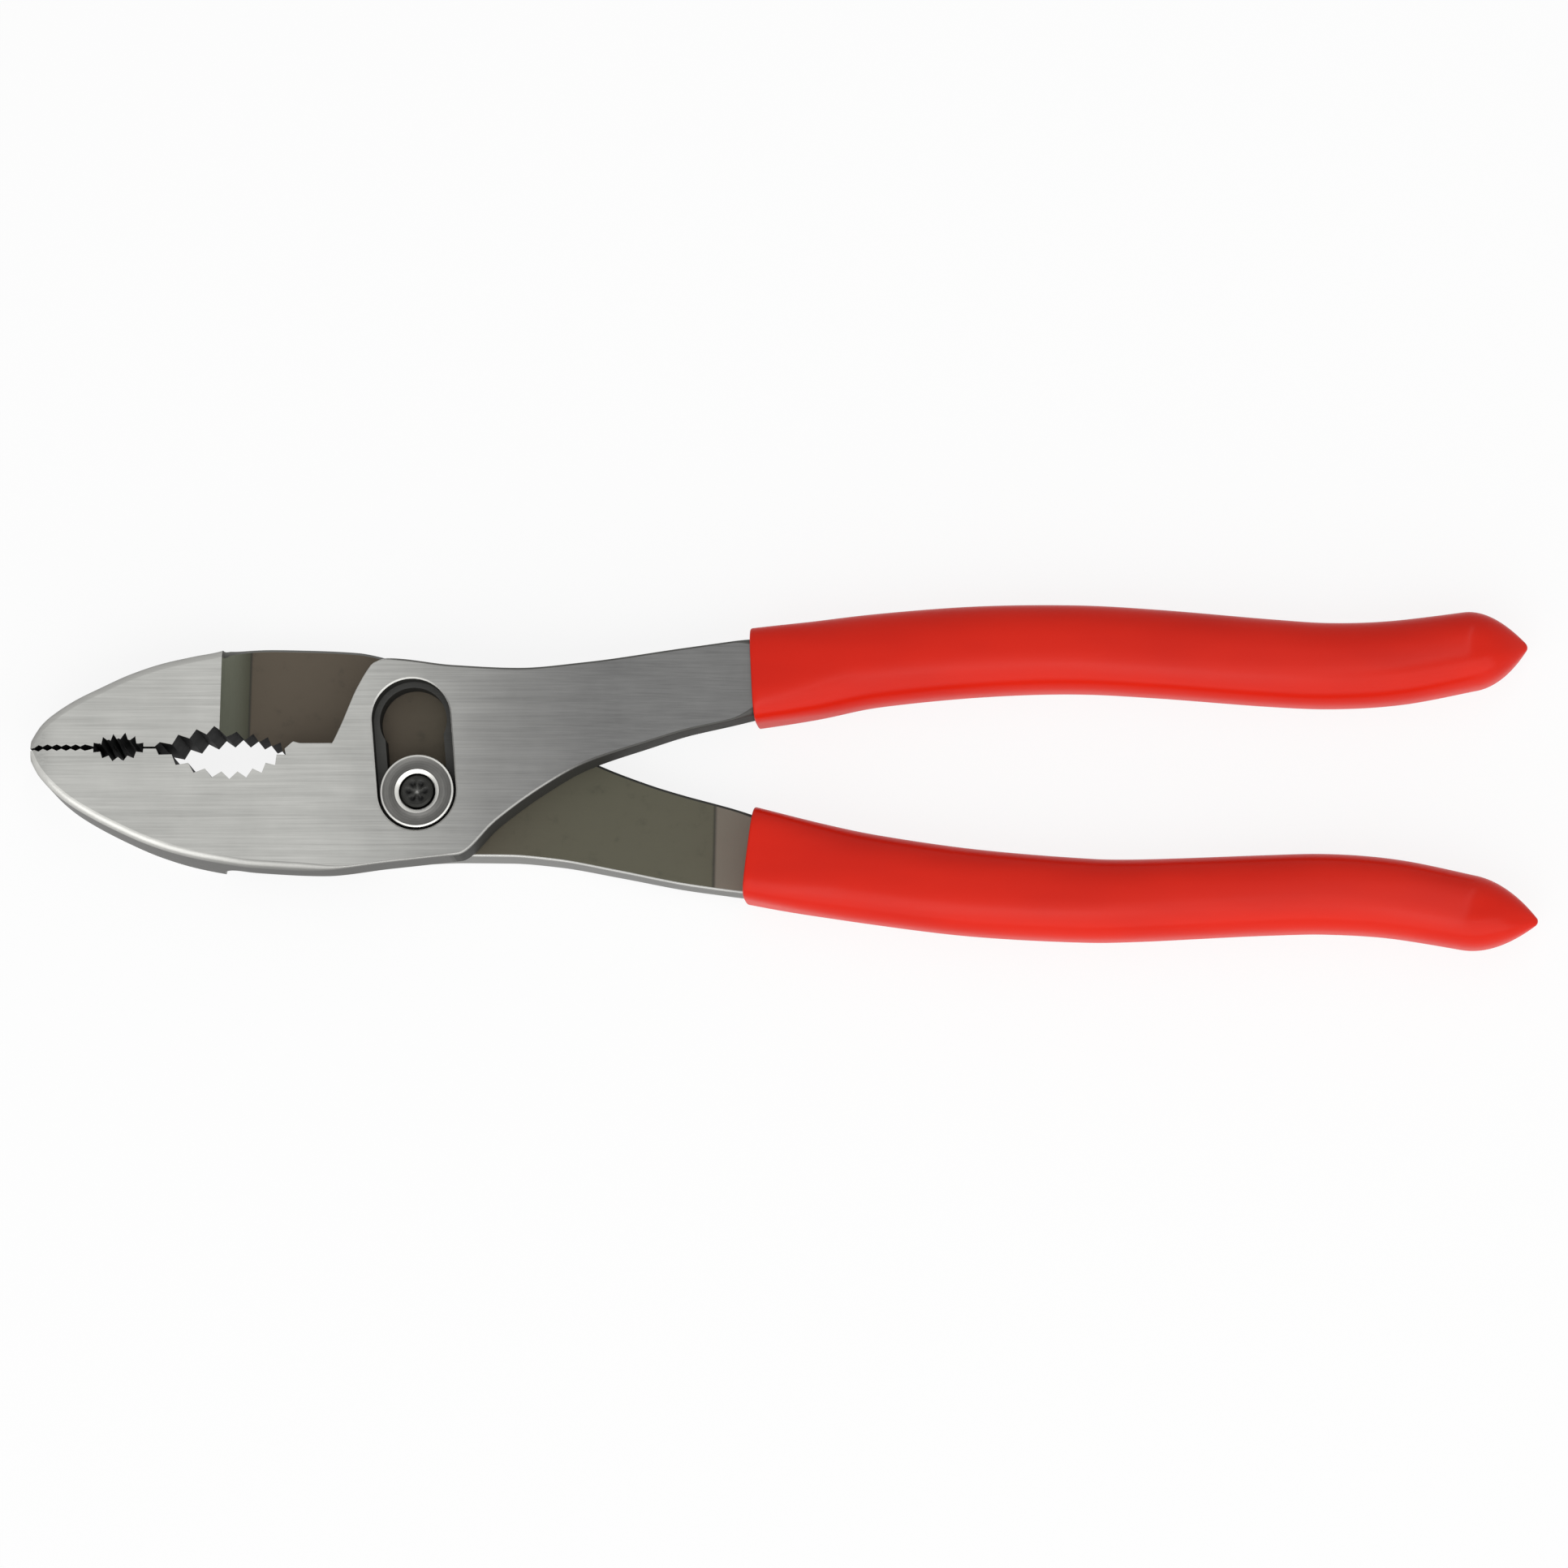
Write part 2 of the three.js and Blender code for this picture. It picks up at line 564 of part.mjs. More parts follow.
const pliers = new THREE.Group();
pliers.add(meshOf('front_half', makeFrontHalf(frontStations), '#b4b4af', 0.38, 1));
pliers.add(meshOf('rear_half', makeRearHalf(rearStations), '#a6a49c', 0.42, 1));
pliers.add(meshOf('pivot_bolt', makeBolt(), '#6f6e6a', 0.45, 1));
pliers.add(meshOf('pivot_nut', makeNut(), '#8f8e8a', 0.4, 1));
pliers.add(meshOf('upper_grip', makeGrip(UPPER_HANDLE, frontStations, 1), '#d7281e', 0.32, 0));
pliers.add(meshOf('lower_grip', makeGrip(LOWER_HANDLE, rearStations, -1), '#d7281e', 0.32, 0));

const extent = new THREE.Box3().setFromObject(pliers);
const middle = extent.getCenter(new THREE.Vector3());
pliers.position.set(-middle.x, -middle.y, -extent.min.z);

export default pliers;
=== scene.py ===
"""Slip-joint pliers with dipped sleeves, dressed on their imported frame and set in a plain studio."""

import json
import math

import bmesh
import bpy
import numpy as np
from bpy.props import FloatProperty, FloatVectorProperty, PointerProperty
from mathutils import Matrix, Vector


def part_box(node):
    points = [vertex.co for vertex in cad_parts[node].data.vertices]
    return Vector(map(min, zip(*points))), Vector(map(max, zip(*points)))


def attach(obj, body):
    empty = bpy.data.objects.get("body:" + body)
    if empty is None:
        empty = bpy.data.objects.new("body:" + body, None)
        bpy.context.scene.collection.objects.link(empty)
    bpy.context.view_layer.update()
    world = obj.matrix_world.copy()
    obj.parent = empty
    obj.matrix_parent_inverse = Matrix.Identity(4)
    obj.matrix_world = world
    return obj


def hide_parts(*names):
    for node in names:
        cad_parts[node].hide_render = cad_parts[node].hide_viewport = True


bl_info = {
    "name": "Slip-joint pliers",
    "version": (1, 0, 0),
    "blender": (4, 5, 0),
    "location": "3D View > Sidebar > Pliers",
    "description": "Builds the dressed pliers on their packed frame, with floor, light and camera",
    "category": "Object",
}

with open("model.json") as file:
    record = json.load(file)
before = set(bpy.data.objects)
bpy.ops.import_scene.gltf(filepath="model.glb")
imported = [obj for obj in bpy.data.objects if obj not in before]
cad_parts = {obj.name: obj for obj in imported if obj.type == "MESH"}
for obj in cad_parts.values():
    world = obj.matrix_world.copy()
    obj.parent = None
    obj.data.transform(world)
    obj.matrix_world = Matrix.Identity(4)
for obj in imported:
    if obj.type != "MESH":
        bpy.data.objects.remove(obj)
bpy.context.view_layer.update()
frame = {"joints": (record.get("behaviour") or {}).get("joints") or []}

MM = 0.001

# The bolt's axis and the slip slide, from the frame
BOLT_LOW, BOLT_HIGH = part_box("pivot_bolt")
PIVOT = np.array([(BOLT_LOW.x + BOLT_HIGH.x) / 2, (BOLT_LOW.y + BOLT_HIGH.y) / 2, 0.0])
SLIP = next(joint for joint in frame["joints"] if joint["name"] == "slip")
SLIP_AXIS = np.array(SLIP["axis"][:2])
SLIP_TRAVEL = SLIP["range_m"][1]

# Places along the tool in metres from the bolt
NOSE_X = -53.6 * MM
JAW_STEP_X = -27.3 * MM
JAW_RAMP = 3.2 * MM
FLAT_FACE_END_X = 12 * MM
ARM_RAMP_X = 40.2 * MM
ARM_RAMP = 9 * MM
ARM_START_X = ARM_RAMP_X + ARM_RAMP
ROUND_RUN = 4 * MM
SLEEVE_FRONT_X = 45.2 * MM
BARE_ARM_END_X = 46.4 * MM
TANG_START_X = 49 * MM
SLEEVE_BODY = 96.8 * MM
MOUTH_SQUARE = 0.5
MOUTH_SHARE = 0.15
TANG_SHORT_OF_TAPER = 7 * MM

# Jaw line
SEAM_Y = 5.95 * MM
SEAM_GAP = 0.3 * MM
NOSE_HALF_WIDTH = 1.5 * MM
NOSE_GRIP_END_X = -45.1 * MM
POCKET_END_X = -37.2 * MM
POCKET_DEPTH = 1.8 * MM
POCKET_TAPER = 0.8
PIPE_START_X = -36.7 * MM
PIPE_END_X = -17.5 * MM
PIPE_DEPTH_LOWER = 4.2 * MM
PIPE_DEPTH_UPPER = 3 * MM
PIPE_LEAN = 1.4 * MM
HEEL_X = -16.2 * MM
HEEL_LAP = 0.7 * MM
EDGE_FADE = 8 * MM

# Outlines in millimetres that a smooth edge runs through: jaws as x and the distance from the seam,
# the rest as x and y from the bolt
LOWER_JAW_EDGE = [
    (-53.6, 1.5), (-52.4, 3.5), (-49.6, 6.4), (-46.8, 8.4), (-40.9, 11.5), (-36.3, 13.45), (-31.7, 14.85),
    (-27.2, 15.75), (-21.9, 16.5), (-13, 16.9), (-4.1, 15.9), (4.8, 14.9),
]
UPPER_JAW_EDGE = [
    (-53.6, 1.5), (-52.3, 3.15), (-49.7, 5.3), (-47.1, 6.95), (-44.4, 8.3), (-40, 10.35), (-35.6, 11.85),
    (-31.2, 12.85), (-27.4, 13.62), (-26.6, 14.15), (-24.2, 14.65), (-21.5, 14.75), (-16, 14.65),
    (-9.5, 14.32), (-4.1, 13.2), (4.8, 11.3),
]
FRONT_DIAGONAL = [
    (6, -8.8), (10.9, -4.2), (17, 0.4), (22.6, 3.7), (31.4, 6.82), (36.3, 8.4), (42.4, 9.85), (46.4, 11),
]
FRONT_TOP_EDGE = [
    (-11.8, 6.65), (-11.5, 7.3), (-10.45, 9.7), (-9, 13.45), (-7.75, 15.95), (-6.45, 17.75), (-4.6, 18.4),
    (4.6, 17.43), (13.5, 17.03), (22.4, 17.85), (35.7, 19.92), (42.5, 20.95),
]
REAR_DIAGONAL = [
    (6, 16.2), (10.9, 12.8), (17, 8.7), (22.6, 5.3), (31.1, 1.9), (35.6, 0.5), (42.5, -1.4), (46.4, -2.75),
]
REAR_BOTTOM_EDGE = [
    (-11.7, 5.25), (-6.1, -8), (-4.3, -8.5), (5.2, -8.1), (12, -8.15), (18.4, -8.7), (27.2, -10.3),
    (36, -12.05), (42.5, -13),
]

# Handles: share of the sleeve's body, centre line y and sleeve half width in millimetres, then the tip
UPPER_HANDLE = {
    "rows": [
        (0, 16.5, 6.6), (0.08, 17.55, 6.5), (0.17, 18.95, 6.25), (0.31, 20.15, 6.1),
        (0.445, 20.45, 5.95), (0.565, 19.85, 5.9), (0.72, 18.6, 5.82), (0.81, 18.15, 5.72),
        (0.9, 18.58, 5.6), (1, 20.1, 5.25),
    ],
    "tip_length": 7.85 * MM,
    "tip_y": 20.75 * MM,
}
LOWER_HANDLE = {
    "rows": [
        (0, -7.95, 6.4), (0.085, -9.73, 6.16), (0.18, -11.36, 5.95), (0.31, -13.03, 5.82),
        (0.45, -14, 5.62), (0.54, -14.1, 5.46), (0.72, -13.36, 5.32), (0.81, -13.2, 5.32),
        (0.9, -13.86, 5.22), (1, -15.65, 4.98),
    ],
    "tip_length": 9.45 * MM,
    "tip_y": -16.95 * MM,
}

# Fineness of the surfaces: stations along a half, then steps and sides
STATION_STEP = 0.6 * MM
SAME_STATION = STATION_STEP / 20
RAMP_STEPS = 14
ROUND_STEPS = 6
KNOT_STEPS = 40
TANG_STEPS = 60
SLEEVE_STEPS = 160
SLEEVE_SIDES = 72
LIP_STEPS = 4
TIP_STEPS = 28
CAP_STEPS = 6
TURN_SIDES = 96
CROWN_STEPS = 26
DISH_STEPS = 9

# How much longer than itself a slanting edge's round may come out in a slice
MOST_SLANT = 2.0

# How close together the tip's rings come at its end, and how far the cap turns towards its pole
TIP_CROWDING = 1.6
CAP_END_TURN = math.radians(87)

# Points nearer than this are one point, and faces thinner than this are none
SAME_POINT = 1e-4 * MM
SLIVER = 1e-5 * MM

# Edges sharper than this many degrees stay sharp in the shading
FORGED_CREASE = 32
BOLT_CREASE = 28
NUT_CREASE = 30
SLEEVE_CREASE = 40

# Staked end of the bolt: a star's radius and width, a dish and a pip as shares of the end's radius, then how
# much shallower the star is halfway between its points and how high the pip is as shares of the dents' depth
STAR_POINTS = 6
STAR_RADIUS = 0.5
STAR_WIDTH = 0.2
DISH_WIDTH = 0.3
PIP_WIDTH = 0.12
STAR_FADE = 0.9
PIP_HEIGHT = 0.9

# Nut, in its own chamfers: how far in and down the rim's middle lies, and the width of the bore's bevel
RIM_MIDDLE = (1 / 3, 1 / 4)
BORE_BEVEL = 1.5

# Face masks that the steel's material reads
FINISHES = ("lap", "ramp", "wall", "edge", "gap", "bite", "slot")

# Where the finish, the painted highlight and the painted shade of an edge change along a half, from and to
BEHIND_HEEL = (-6 * MM, -3 * MM)
BY_DIAGONAL = (3.5 * MM, 6 * MM)
BETWEEN_ARMS = (17 * MM, 25 * MM)

# How much of the bright edge colour the edges take, from 0 to 1: polish, and painted highlight
FRONT_JAW_POLISH_AND_HIGHLIGHT = 0.7
FRONT_DIAGONAL_POLISH_AND_HIGHLIGHT = 0.14
FRONT_HEEL_POLISH_AND_HIGHLIGHT = 0.35
REAR_JAW_POLISH_AND_HIGHLIGHT = 0.2
REAR_HEEL_POLISH_AND_HIGHLIGHT = 0.32
SLOT_RIM_POLISH_AND_HIGHLIGHT = 0.5
NUT_RIM_POLISH_AND_HIGHLIGHT = 0.7
NUT_BEVEL_POLISH_AND_HIGHLIGHT = 0.9
PIP_POLISH_AND_HIGHLIGHT = 0.2

# How much of the ground wall and of the forging scale with painted shade the rounds beside a wall take on,
# and how dark the painted shade line along the arms' upper edges is
ROUND_GRIND = 0.6
ROUND_SCALE_AND_SHADE = 0.75
THIN_LINE_SHADE = 0.6

# Painted shade from 0 to 1: the slot's ledge, and the star's dents as a straight line of their depth up to a
# limit
LEDGE_SHADE = 0.85
DENT_SHADE_RISE = 1.4
DENT_SHADE_START = -0.3
MOST_DENT_SHADE = 0.9

# Noise in the finishes, as cycles per metre, for each axis where it is stretched
BELT_GRAIN = (70, 4200, 3400)
BELT_STREAK = (18, 900, 700)
STEEL_CLOUD = 170
OXIDE_PATCH = 420
TURNED_RINGS = 900
TURNED_STAIN = 900
VINYL_WAVE = (40, 120, 120)
VINYL_SKIN = 1500

# How much of its glare the ground steel keeps at a grazing angle, so that it doesn't turn white there
GRAZING_TINT = (0.6, 0.6, 0.6, 1)

# Depth of the grain, of the turned rings and of the wave in the vinyl
GRAIN_DEPTH = 0.03 * MM
RING_DEPTH = 0.02 * MM
WAVE_DEPTH = 0.1 * MM

# Where the steel darkens and the oxide changes along the tool, and half the width of the painted shade line
# at a ramp's foot
ARM_DARKENING = (-20 * MM, 28 * MM)
OXIDE_CHANGE = (-10 * MM, 25 * MM)
JAW_FOOT_SHADE = 0.3 * MM
ARM_FOOT_SHADE = 0.4 * MM

# Studio: places and sizes in metres, power in watts, and shares of full white
SOFT_BOX = {"place": (0.12, -0.85, 0.75), "size": (3, 1.35), "power": 16}
STRIP_BOX = {"place": (0.05, -0.015, 0.9), "size": (2.4, 0.06), "power": 2}
AMBIENT = 0.38
FLOOR_GLOW = 0.86
FLOOR_REACH = 2.5
FLOOR_DROP = 0.2 * MM
WHITE = (1, 1, 1, 1)

# Camera: the way from the tool to it, the point it looks at, from the bolt, and the width that it sees there,
# from the photo's width in pixels and their size on the tool
CAMERA_WAY = (0.11, -0.2, 1)
CAMERA_TARGET = (50.08 * MM, 0.897 * MM, 10.4 * MM)
CAMERA_DISTANCE = 1.25
PHOTO_PIXELS = 1932
PIXEL = 0.1095 * MM


# Sizes and colours that a user may change

def length(name, description, millimetres):
    """A size property given in millimetres and kept in metres."""
    default = millimetres * MM
    return FloatProperty(name=name, description=description, default=default, unit="LENGTH", precision=5)


def colour(name, description, value):
    """A colour property in linear light."""
    settings = {"default": value, "subtype": "COLOR", "min": 0, "max": 1}
    return FloatVectorProperty(name=name, description=description, **settings)


def exponent(name, description, value):
    """A plain number that serves as the power of a curve."""
    return FloatProperty(name=name, description=description, default=value)


class PliersSizes(bpy.types.PropertyGroup):
    """Sizes of the pieces that the frame leaves open."""

    head_thickness: length("Head thickness", "Both halves together at the joint", 10.4)
    lap_gap: length("Lap gap", "Between the two lap faces", 0.3)
    edge_round: length("Edge round", "Round along the outer edges of the jaws", 1)
    arm_edge_round: length("Arm edge round", "Round along the arms where the sleeves start", 2.6)
    keen_edge_round: length("Keen edge round", "Broken outer edge on the heel's side and along the arms", 0.3)
    lap_edge_round: length("Lap edge round", "Broken edge of the lap faces", 0.35)
    nose_round: length("Nose round", "How much the nose thins at its end on each side", 1.6)
    nose_round_run: length("Nose round run", "Length over which the nose thins", 3)
    nose_pitch: length("Nose pitch", "Pitch of the fine nose teeth", 1.3)
    nose_tooth: length("Nose tooth", "Height of the fine nose teeth", 0.3)
    pocket_pitch: length("Pocket pitch", "Pitch of the teeth in the small pocket", 1.55)
    pocket_tooth: length("Pocket tooth", "Height of the teeth in the small pocket", 0.65)
    pipe_pitch: length("Pipe pitch", "Pitch of the teeth in the pipe grip", 2.27)
    pipe_tooth: length("Pipe tooth", "Height of the teeth in the pipe grip", 1)
    slot_width: length("Slot width", "Width of the slot's upper step, which the nut runs in", 10.8)
    slot_ledge_depth: length("Slot ledge depth", "Depth of the ledge that the nut lies on", 2.45)
    slot_chamfer: length("Slot chamfer", "Broken rim of the slot", 0.2)
    running_fit: length("Running fit", "Play round the bolt and the nut", 0.3)
    bolt_diameter: length("Bolt diameter", "Round shank in the rear half", 8.6)
    bolt_flats: length("Bolt flats", "Across the two flats in the slot", 7.4)
    bolt_end_diameter: length("Bolt end diameter", "Turned-down end inside the nut", 4.4)
    bolt_head_diameter: length("Bolt head diameter", "Flat head on the back", 11.6)
    bolt_head_height: length("Bolt head height", "Thickness of the flat head", 1.8)
    bolt_head_sunk: length("Bolt head sunk", "Depth of the head below the back face", 0.2)
    bolt_chamfer: length("Bolt chamfer", "Broken edges of the bolt", 0.3)
    stake_depth: length("Stake depth", "Depth of the dents that spread the bolt's end", 0.34)
    nut_height: length("Nut height", "Thickness of the round nut", 1.85)
    nut_chamfer: length("Nut chamfer", "Broken edges of the nut", 0.35)
    nut_dish: length("Nut dish", "How far the nut's face is hollowed", 0.2)
    sleeve_thickness: length("Sleeve thickness", "Sleeve through the tool's thickness", 10.4)
    sleeve_wall: length("Sleeve wall", "Thickness of the dip", 1.1)
    sleeve_fit: length("Sleeve fit", "Play between the dip and the steel", 0.3)
    sleeve_lip: length("Sleeve lip", "Round at the sleeve's mouth", 0.3)
    tip_half_width: length("Tip half width", "Half width of the blunt end of the drip tip", 0.55)
    sleeve_squareness: exponent("Sleeve squareness", "Power of the rounded section, 2 is an ellipse", 2.6)
    mouth_squareness: exponent("Mouth squareness", "Power of the sleeve's section at its mouth", 3.8)
    tip_fullness: exponent("Tip fullness", "Power of the taper at the sleeve's tip, 1 is a plain cone", 1.95)


class PliersFinish(bpy.types.PropertyGroup):
    """Colours of the finishes, in linear light."""

    ground_light: colour("Ground steel, light", "Crests of the belt grain", (0.5, 0.5, 0.477))
    ground_dark: colour("Ground steel, dark", "Valleys of the belt grain", (0.31, 0.31, 0.295))
    arm_light: colour("Arm steel, light", "Crests of the grain towards the sleeves", (0.172, 0.172, 0.169))
    arm_dark: colour("Arm steel, dark", "Valleys of the grain towards the sleeves", (0.1, 0.1, 0.099))
    # Polish with painted highlight: the bright colour of rounds and rims stands partly for the lamp's glint
    edge_polish_and_highlight: colour("Edge steel", "Polished rounds and rims", (0.74, 0.735, 0.7))
    wall_steel: colour("Wall steel", "Ground outer walls", (0.175, 0.172, 0.164))
    lap_oxide: colour("Lap oxide", "Brown milled lap face of the jaw", (0.118, 0.098, 0.075))
    arm_oxide: colour("Arm oxide", "Olive milled lap face of the arm", (0.117, 0.112, 0.082))
    # Oxide with painted shade: the jaw's ramp darkens from this colour to the next towards its foot
    ramp_oxide_and_shade: colour("Ramp oxide", "Hollow ramp between jaw and lap, near the jaw", (0.19, 0.2, 0.155))
    ramp_foot_shade: colour("Ramp foot", "Hollow ramp between jaw and lap, near the lap", (0.08, 0.08, 0.058))
    # Oxide, made lighter as painted light on the arm's ramp, which faces up towards the light
    strip_oxide_and_light: colour("Strip oxide", "Hollow ramp between lap and sleeve", (0.19, 0.168, 0.138))
    # Forging scale and painted shade: walls between the handles, the diagonal by the crotch, upper edges,
    # ramp feet; real scale spots on laps
    gap_scale_and_shade: colour("Gap scale", "Forging scale on the walls between the handles", (0.04, 0.04, 0.036))
    # Dark oxide with painted shade on the teeth's flanks and in the pockets, and the painted shade in the
    # bolt's dents
    bite_dark_and_shade: colour("Bite dark", "Dark flanks of the teeth", (0.012, 0.012, 0.012))
    # Dark finish with painted shade on the walls and ledge of the slot, which lie in a recess
    slot_dark_and_shade: colour("Slot dark", "Walls and ledge of the slot", (0.025, 0.025, 0.023))
    nut_face: colour("Nut face", "Turned face of the nut", (0.13, 0.128, 0.122))
    bolt_end: colour("Bolt end", "Staked end of the bolt", (0.035, 0.035, 0.033))
    vinyl: colour("Red vinyl", "Dipped sleeves", (0.72, 0.018, 0.006))
    vinyl_deep: colour("Red vinyl, deep", "Thicker places of the dip", (0.66, 0.015, 0.005))
    floor: colour("Floor", "Pale studio floor", (1, 1, 1))


# Curves

def smooth_edge(points):
    """Height over x through the points: cubics whose slope at each point is the harmonic mean of the rises on
    both sides, or level at a peak, so that they never overshoot."""
    x, y = np.asarray(points, float).T
    rise = np.diff(y) / np.diff(x)
    before, after = rise[:-1], rise[1:]
    same_way = before * after > 0
    inner = np.where(same_way, 2 * before * after / np.where(same_way, before + after, 1), 0)
    slope = np.concatenate([rise[:1], inner, rise[-1:]])

    def height(at):
        i = np.clip(np.searchsorted(x, at) - 1, 0, len(x) - 2)
        run = x[i + 1] - x[i]
        u = (at - x[i]) / run
        hold = (1 + 2 * u) * (1 - u) ** 2
        bend = u * (1 - u) ** 2 * slope[i] - u * u * (1 - u) * slope[i + 1]
        return y[i] * hold + y[i + 1] * (1 - hold) + run * bend

    return height


def smoothstep(x, start, end):
    """0 before start, 1 after end and a level-ended cubic between."""
    u = np.clip((x - start) / (end - start), 0, 1)
    return u * u * (3 - 2 * u)


def hollow_ramp(x, start, run):
    """1 at the start, 0 at the end, along a hollow quarter circle that runs out flat."""
    u = np.clip((x - start) / run, 0, 1)
    return 1 - np.sqrt(1 - (1 - u) ** 2)


def bell(x, width):
    """1 at 0, falling off on both sides over the width as a bell curve."""
    return np.exp(-((x / width) ** 2))


def full_turn(count):
    """Evenly spaced angles once round."""
    return np.linspace(0, 2 * np.pi, count, endpoint=False)


def unit(ways):
    """Directions scaled to length 1."""
    return ways / np.linalg.norm(ways, axis=-1, keepdims=True)


def handle_line(handle):
    """A handle's centre, sideways direction and half width over the share of its arc: a uniform Catmull-Rom
    curve through the rows, measured along itself. Slices near the mouth turn part of the way to a square
    cut."""
    share, y, half = np.array(handle["rows"]).T
    x = SLEEVE_FRONT_X + share * SLEEVE_BODY
    knots = np.stack([x, y * MM], 1)
    width = smooth_edge(np.stack([x, half * MM], 1))
    padded = np.concatenate([knots[:1], knots, knots[-1:]])
    t = np.linspace(0, len(knots) - 1, KNOT_STEPS * len(knots))
    i = np.minimum(t.astype(int), len(knots) - 2)
    u = (t - i)[:, None]
    p0, p1, p2, p3 = (padded[i + k] for k in range(4))
    v0, v1 = (p2 - p0) / 2, (p3 - p1) / 2
    path = p1 + u * v0 + u**2 * (3 * (p2 - p1) - 2 * v0 - v1) + u**3 * (2 * (p1 - p2) + v0 + v1)
    reach = np.concatenate([[0], np.cumsum(np.linalg.norm(np.diff(path, axis=0), axis=1))])
    along = unit(np.gradient(path, axis=0))

    def at(shares):
        def between(rows):
            return np.stack([np.interp(shares * reach[-1], reach, column) for column in rows.T], -1)

        point = between(path)
        square = MOUTH_SQUARE * (1 - smoothstep(shares, 0, MOUTH_SHARE))[:, None]
        lead = unit(between(along) * (1 - square) + np.array([1, 0]) * square)
        across = np.stack([-lead[:, 1], lead[:, 0]], -1)
        return point, across, width(point[:, 0])

    return at


# Meshes

def mesh_object(name, corners, faces, **masks):
    """A mesh object from points in metres from the bolt, moved into the row frame, with its face masks."""
    mesh = bpy.data.meshes.new(name)
    mesh.from_pydata(np.asarray(corners).reshape(-1, 3) + PIVOT, [], faces)
    for finish in FINISHES:
        values = np.full(len(mesh.polygons), masks.get(finish, 0.0), np.float32)
        mesh.attributes.new(finish, "FLOAT", "FACE").data.foreach_set("value", values)
    piece = bpy.data.objects.new(name, mesh)
    bpy.context.scene.collection.objects.link(piece)
    return piece


def grid_faces(rows, columns):
    """Quads of a grid whose columns close on themselves, as rows of four indices."""
    row, column = np.meshgrid(np.arange(rows - 1), np.arange(columns), indexing="ij")
    here = row * columns + column
    beside = row * columns + (column + 1) % columns
    return np.stack([here, beside, beside + columns, here + columns], -1).reshape(-1, 4)


def quad_values(value, grid):
    """A mask's value for every quad of a grid, in the order of its faces."""
    rows, columns = grid.shape[:2]
    return np.broadcast_to(value, (rows - 1, columns)).ravel()


def tube(name, grid, first=0.0, last=0.0, **masks):
    """A closed tube: a grid of rings with a flat face over its first and its last ring. The masks are given
    for the grid's quads, and the two end faces take the values first and last in every mask that is given."""
    rows, columns = grid.shape[:2]
    faces = grid_faces(rows, columns).tolist()
    faces.append(list(range(columns))[::-1])
    faces.append(list(range((rows - 1) * columns, rows * columns)))
    ends = [first, last]
    masks = {key: np.append(quad_values(value, grid), ends) for key, value in masks.items()}
    return mesh_object(name, grid, faces, **masks)


def prism(name, outline, low, high, foot=None, **masks):
    """An upright prism of an anticlockwise plan outline between two heights, or a taper from another foot."""
    ends = ((outline if foot is None else foot, low), (outline, high))
    grid = np.stack([np.column_stack([ring, np.full(len(ring), z)]) for ring, z in ends])
    return tube(name, grid, **masks)


def turned_grid(profile):
    """Rings of a turned solid: radius and height rows carried round the bolt's axis."""
    radius, height = np.asarray(profile).T[..., None]
    angle = full_turn(TURN_SIDES)
    return np.stack([radius * np.cos(angle), radius * np.sin(angle), height + 0 * angle], -1)


def turned(name, grid, **masks):
    """A turned solid from its rings, which meet the axis or each other at both ends."""
    faces = grid_faces(*grid.shape[:2]).tolist()
    masks = {key: quad_values(value, grid) for key, value in masks.items()}
    return weld(mesh_object(name, grid, faces, **masks))


def weld(piece):
    """Merges the doubled points of poles and closed profiles, and turns every face outwards."""
    shape = bmesh.new()
    shape.from_mesh(piece.data)
    bmesh.ops.remove_doubles(shape, verts=shape.verts, dist=SAME_POINT)
    bmesh.ops.dissolve_degenerate(shape, edges=shape.edges, dist=SLIVER)
    bmesh.ops.recalc_face_normals(shape, faces=shape.faces)
    shape.to_mesh(piece.data)
    shape.free()
    return piece


def flat_faces(piece):
    """Cuts every face into triangles, so that a twisted quad can't trouble a Boolean."""
    shape = bmesh.new()
    shape.from_mesh(piece.data)
    bmesh.ops.triangulate(shape, faces=shape.faces)
    shape.to_mesh(piece.data)
    shape.free()
    return piece


def carve(piece, *cutters):
    """Takes the cutters off the piece with exact Booleans and keeps the outcome as the piece's own mesh."""
    for cutter in cutters:
        modifier = piece.modifiers.new(cutter.name, "BOOLEAN")
        modifier.operation = "DIFFERENCE"
        modifier.solver = "EXACT"
        modifier.object = cutter
    graph = bpy.context.evaluated_depsgraph_get()
    whole = piece.data
    piece.data = bpy.data.meshes.new_from_object(piece.evaluated_get(graph))
    if not piece.data.polygons:
        raise RuntimeError(piece.name + " was lost in its cuts")
    piece.data.name = whole.name
    piece.modifiers.clear()
    bpy.data.meshes.remove(whole)
    for cutter in cutters:
        bpy.data.objects.remove(cutter)
    return piece


def shade(piece, angle):
    """Smooth shading that breaks at edges sharper than the angle and favours the large faces."""
    mesh = piece.data
    mesh.polygons.foreach_set("use_smooth", np.ones(len(mesh.polygons), bool))
    mesh.set_sharp_from_angle(angle=math.radians(angle))
    modifier = piece.modifiers.new("even_normals", "WEIGHTED_NORMAL")
    modifier.keep_sharp = True
    return piece


def seat(piece, body, node, material):
    """Lets the piece stand for its CAD node and move with that node's body, in its finish."""
    piece.data.materials.clear()
    piece.data.materials.append(material)
    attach(piece, body)
    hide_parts(node)


# Forged halves: heights are measured from the middle plane towards the half's own outer face

def arm_share(x):
    """0 on the flat head, 1 where the sleeve's steel begins."""
    return smoothstep(x, FLAT_FACE_END_X, ARM_START_X)


def arm_half_thickness(sizes):
    """Half the thickness of the steel inside a sleeve."""
    return sizes.sleeve_thickness / 2 - sizes.sleeve_wall - sizes.sleeve_fit


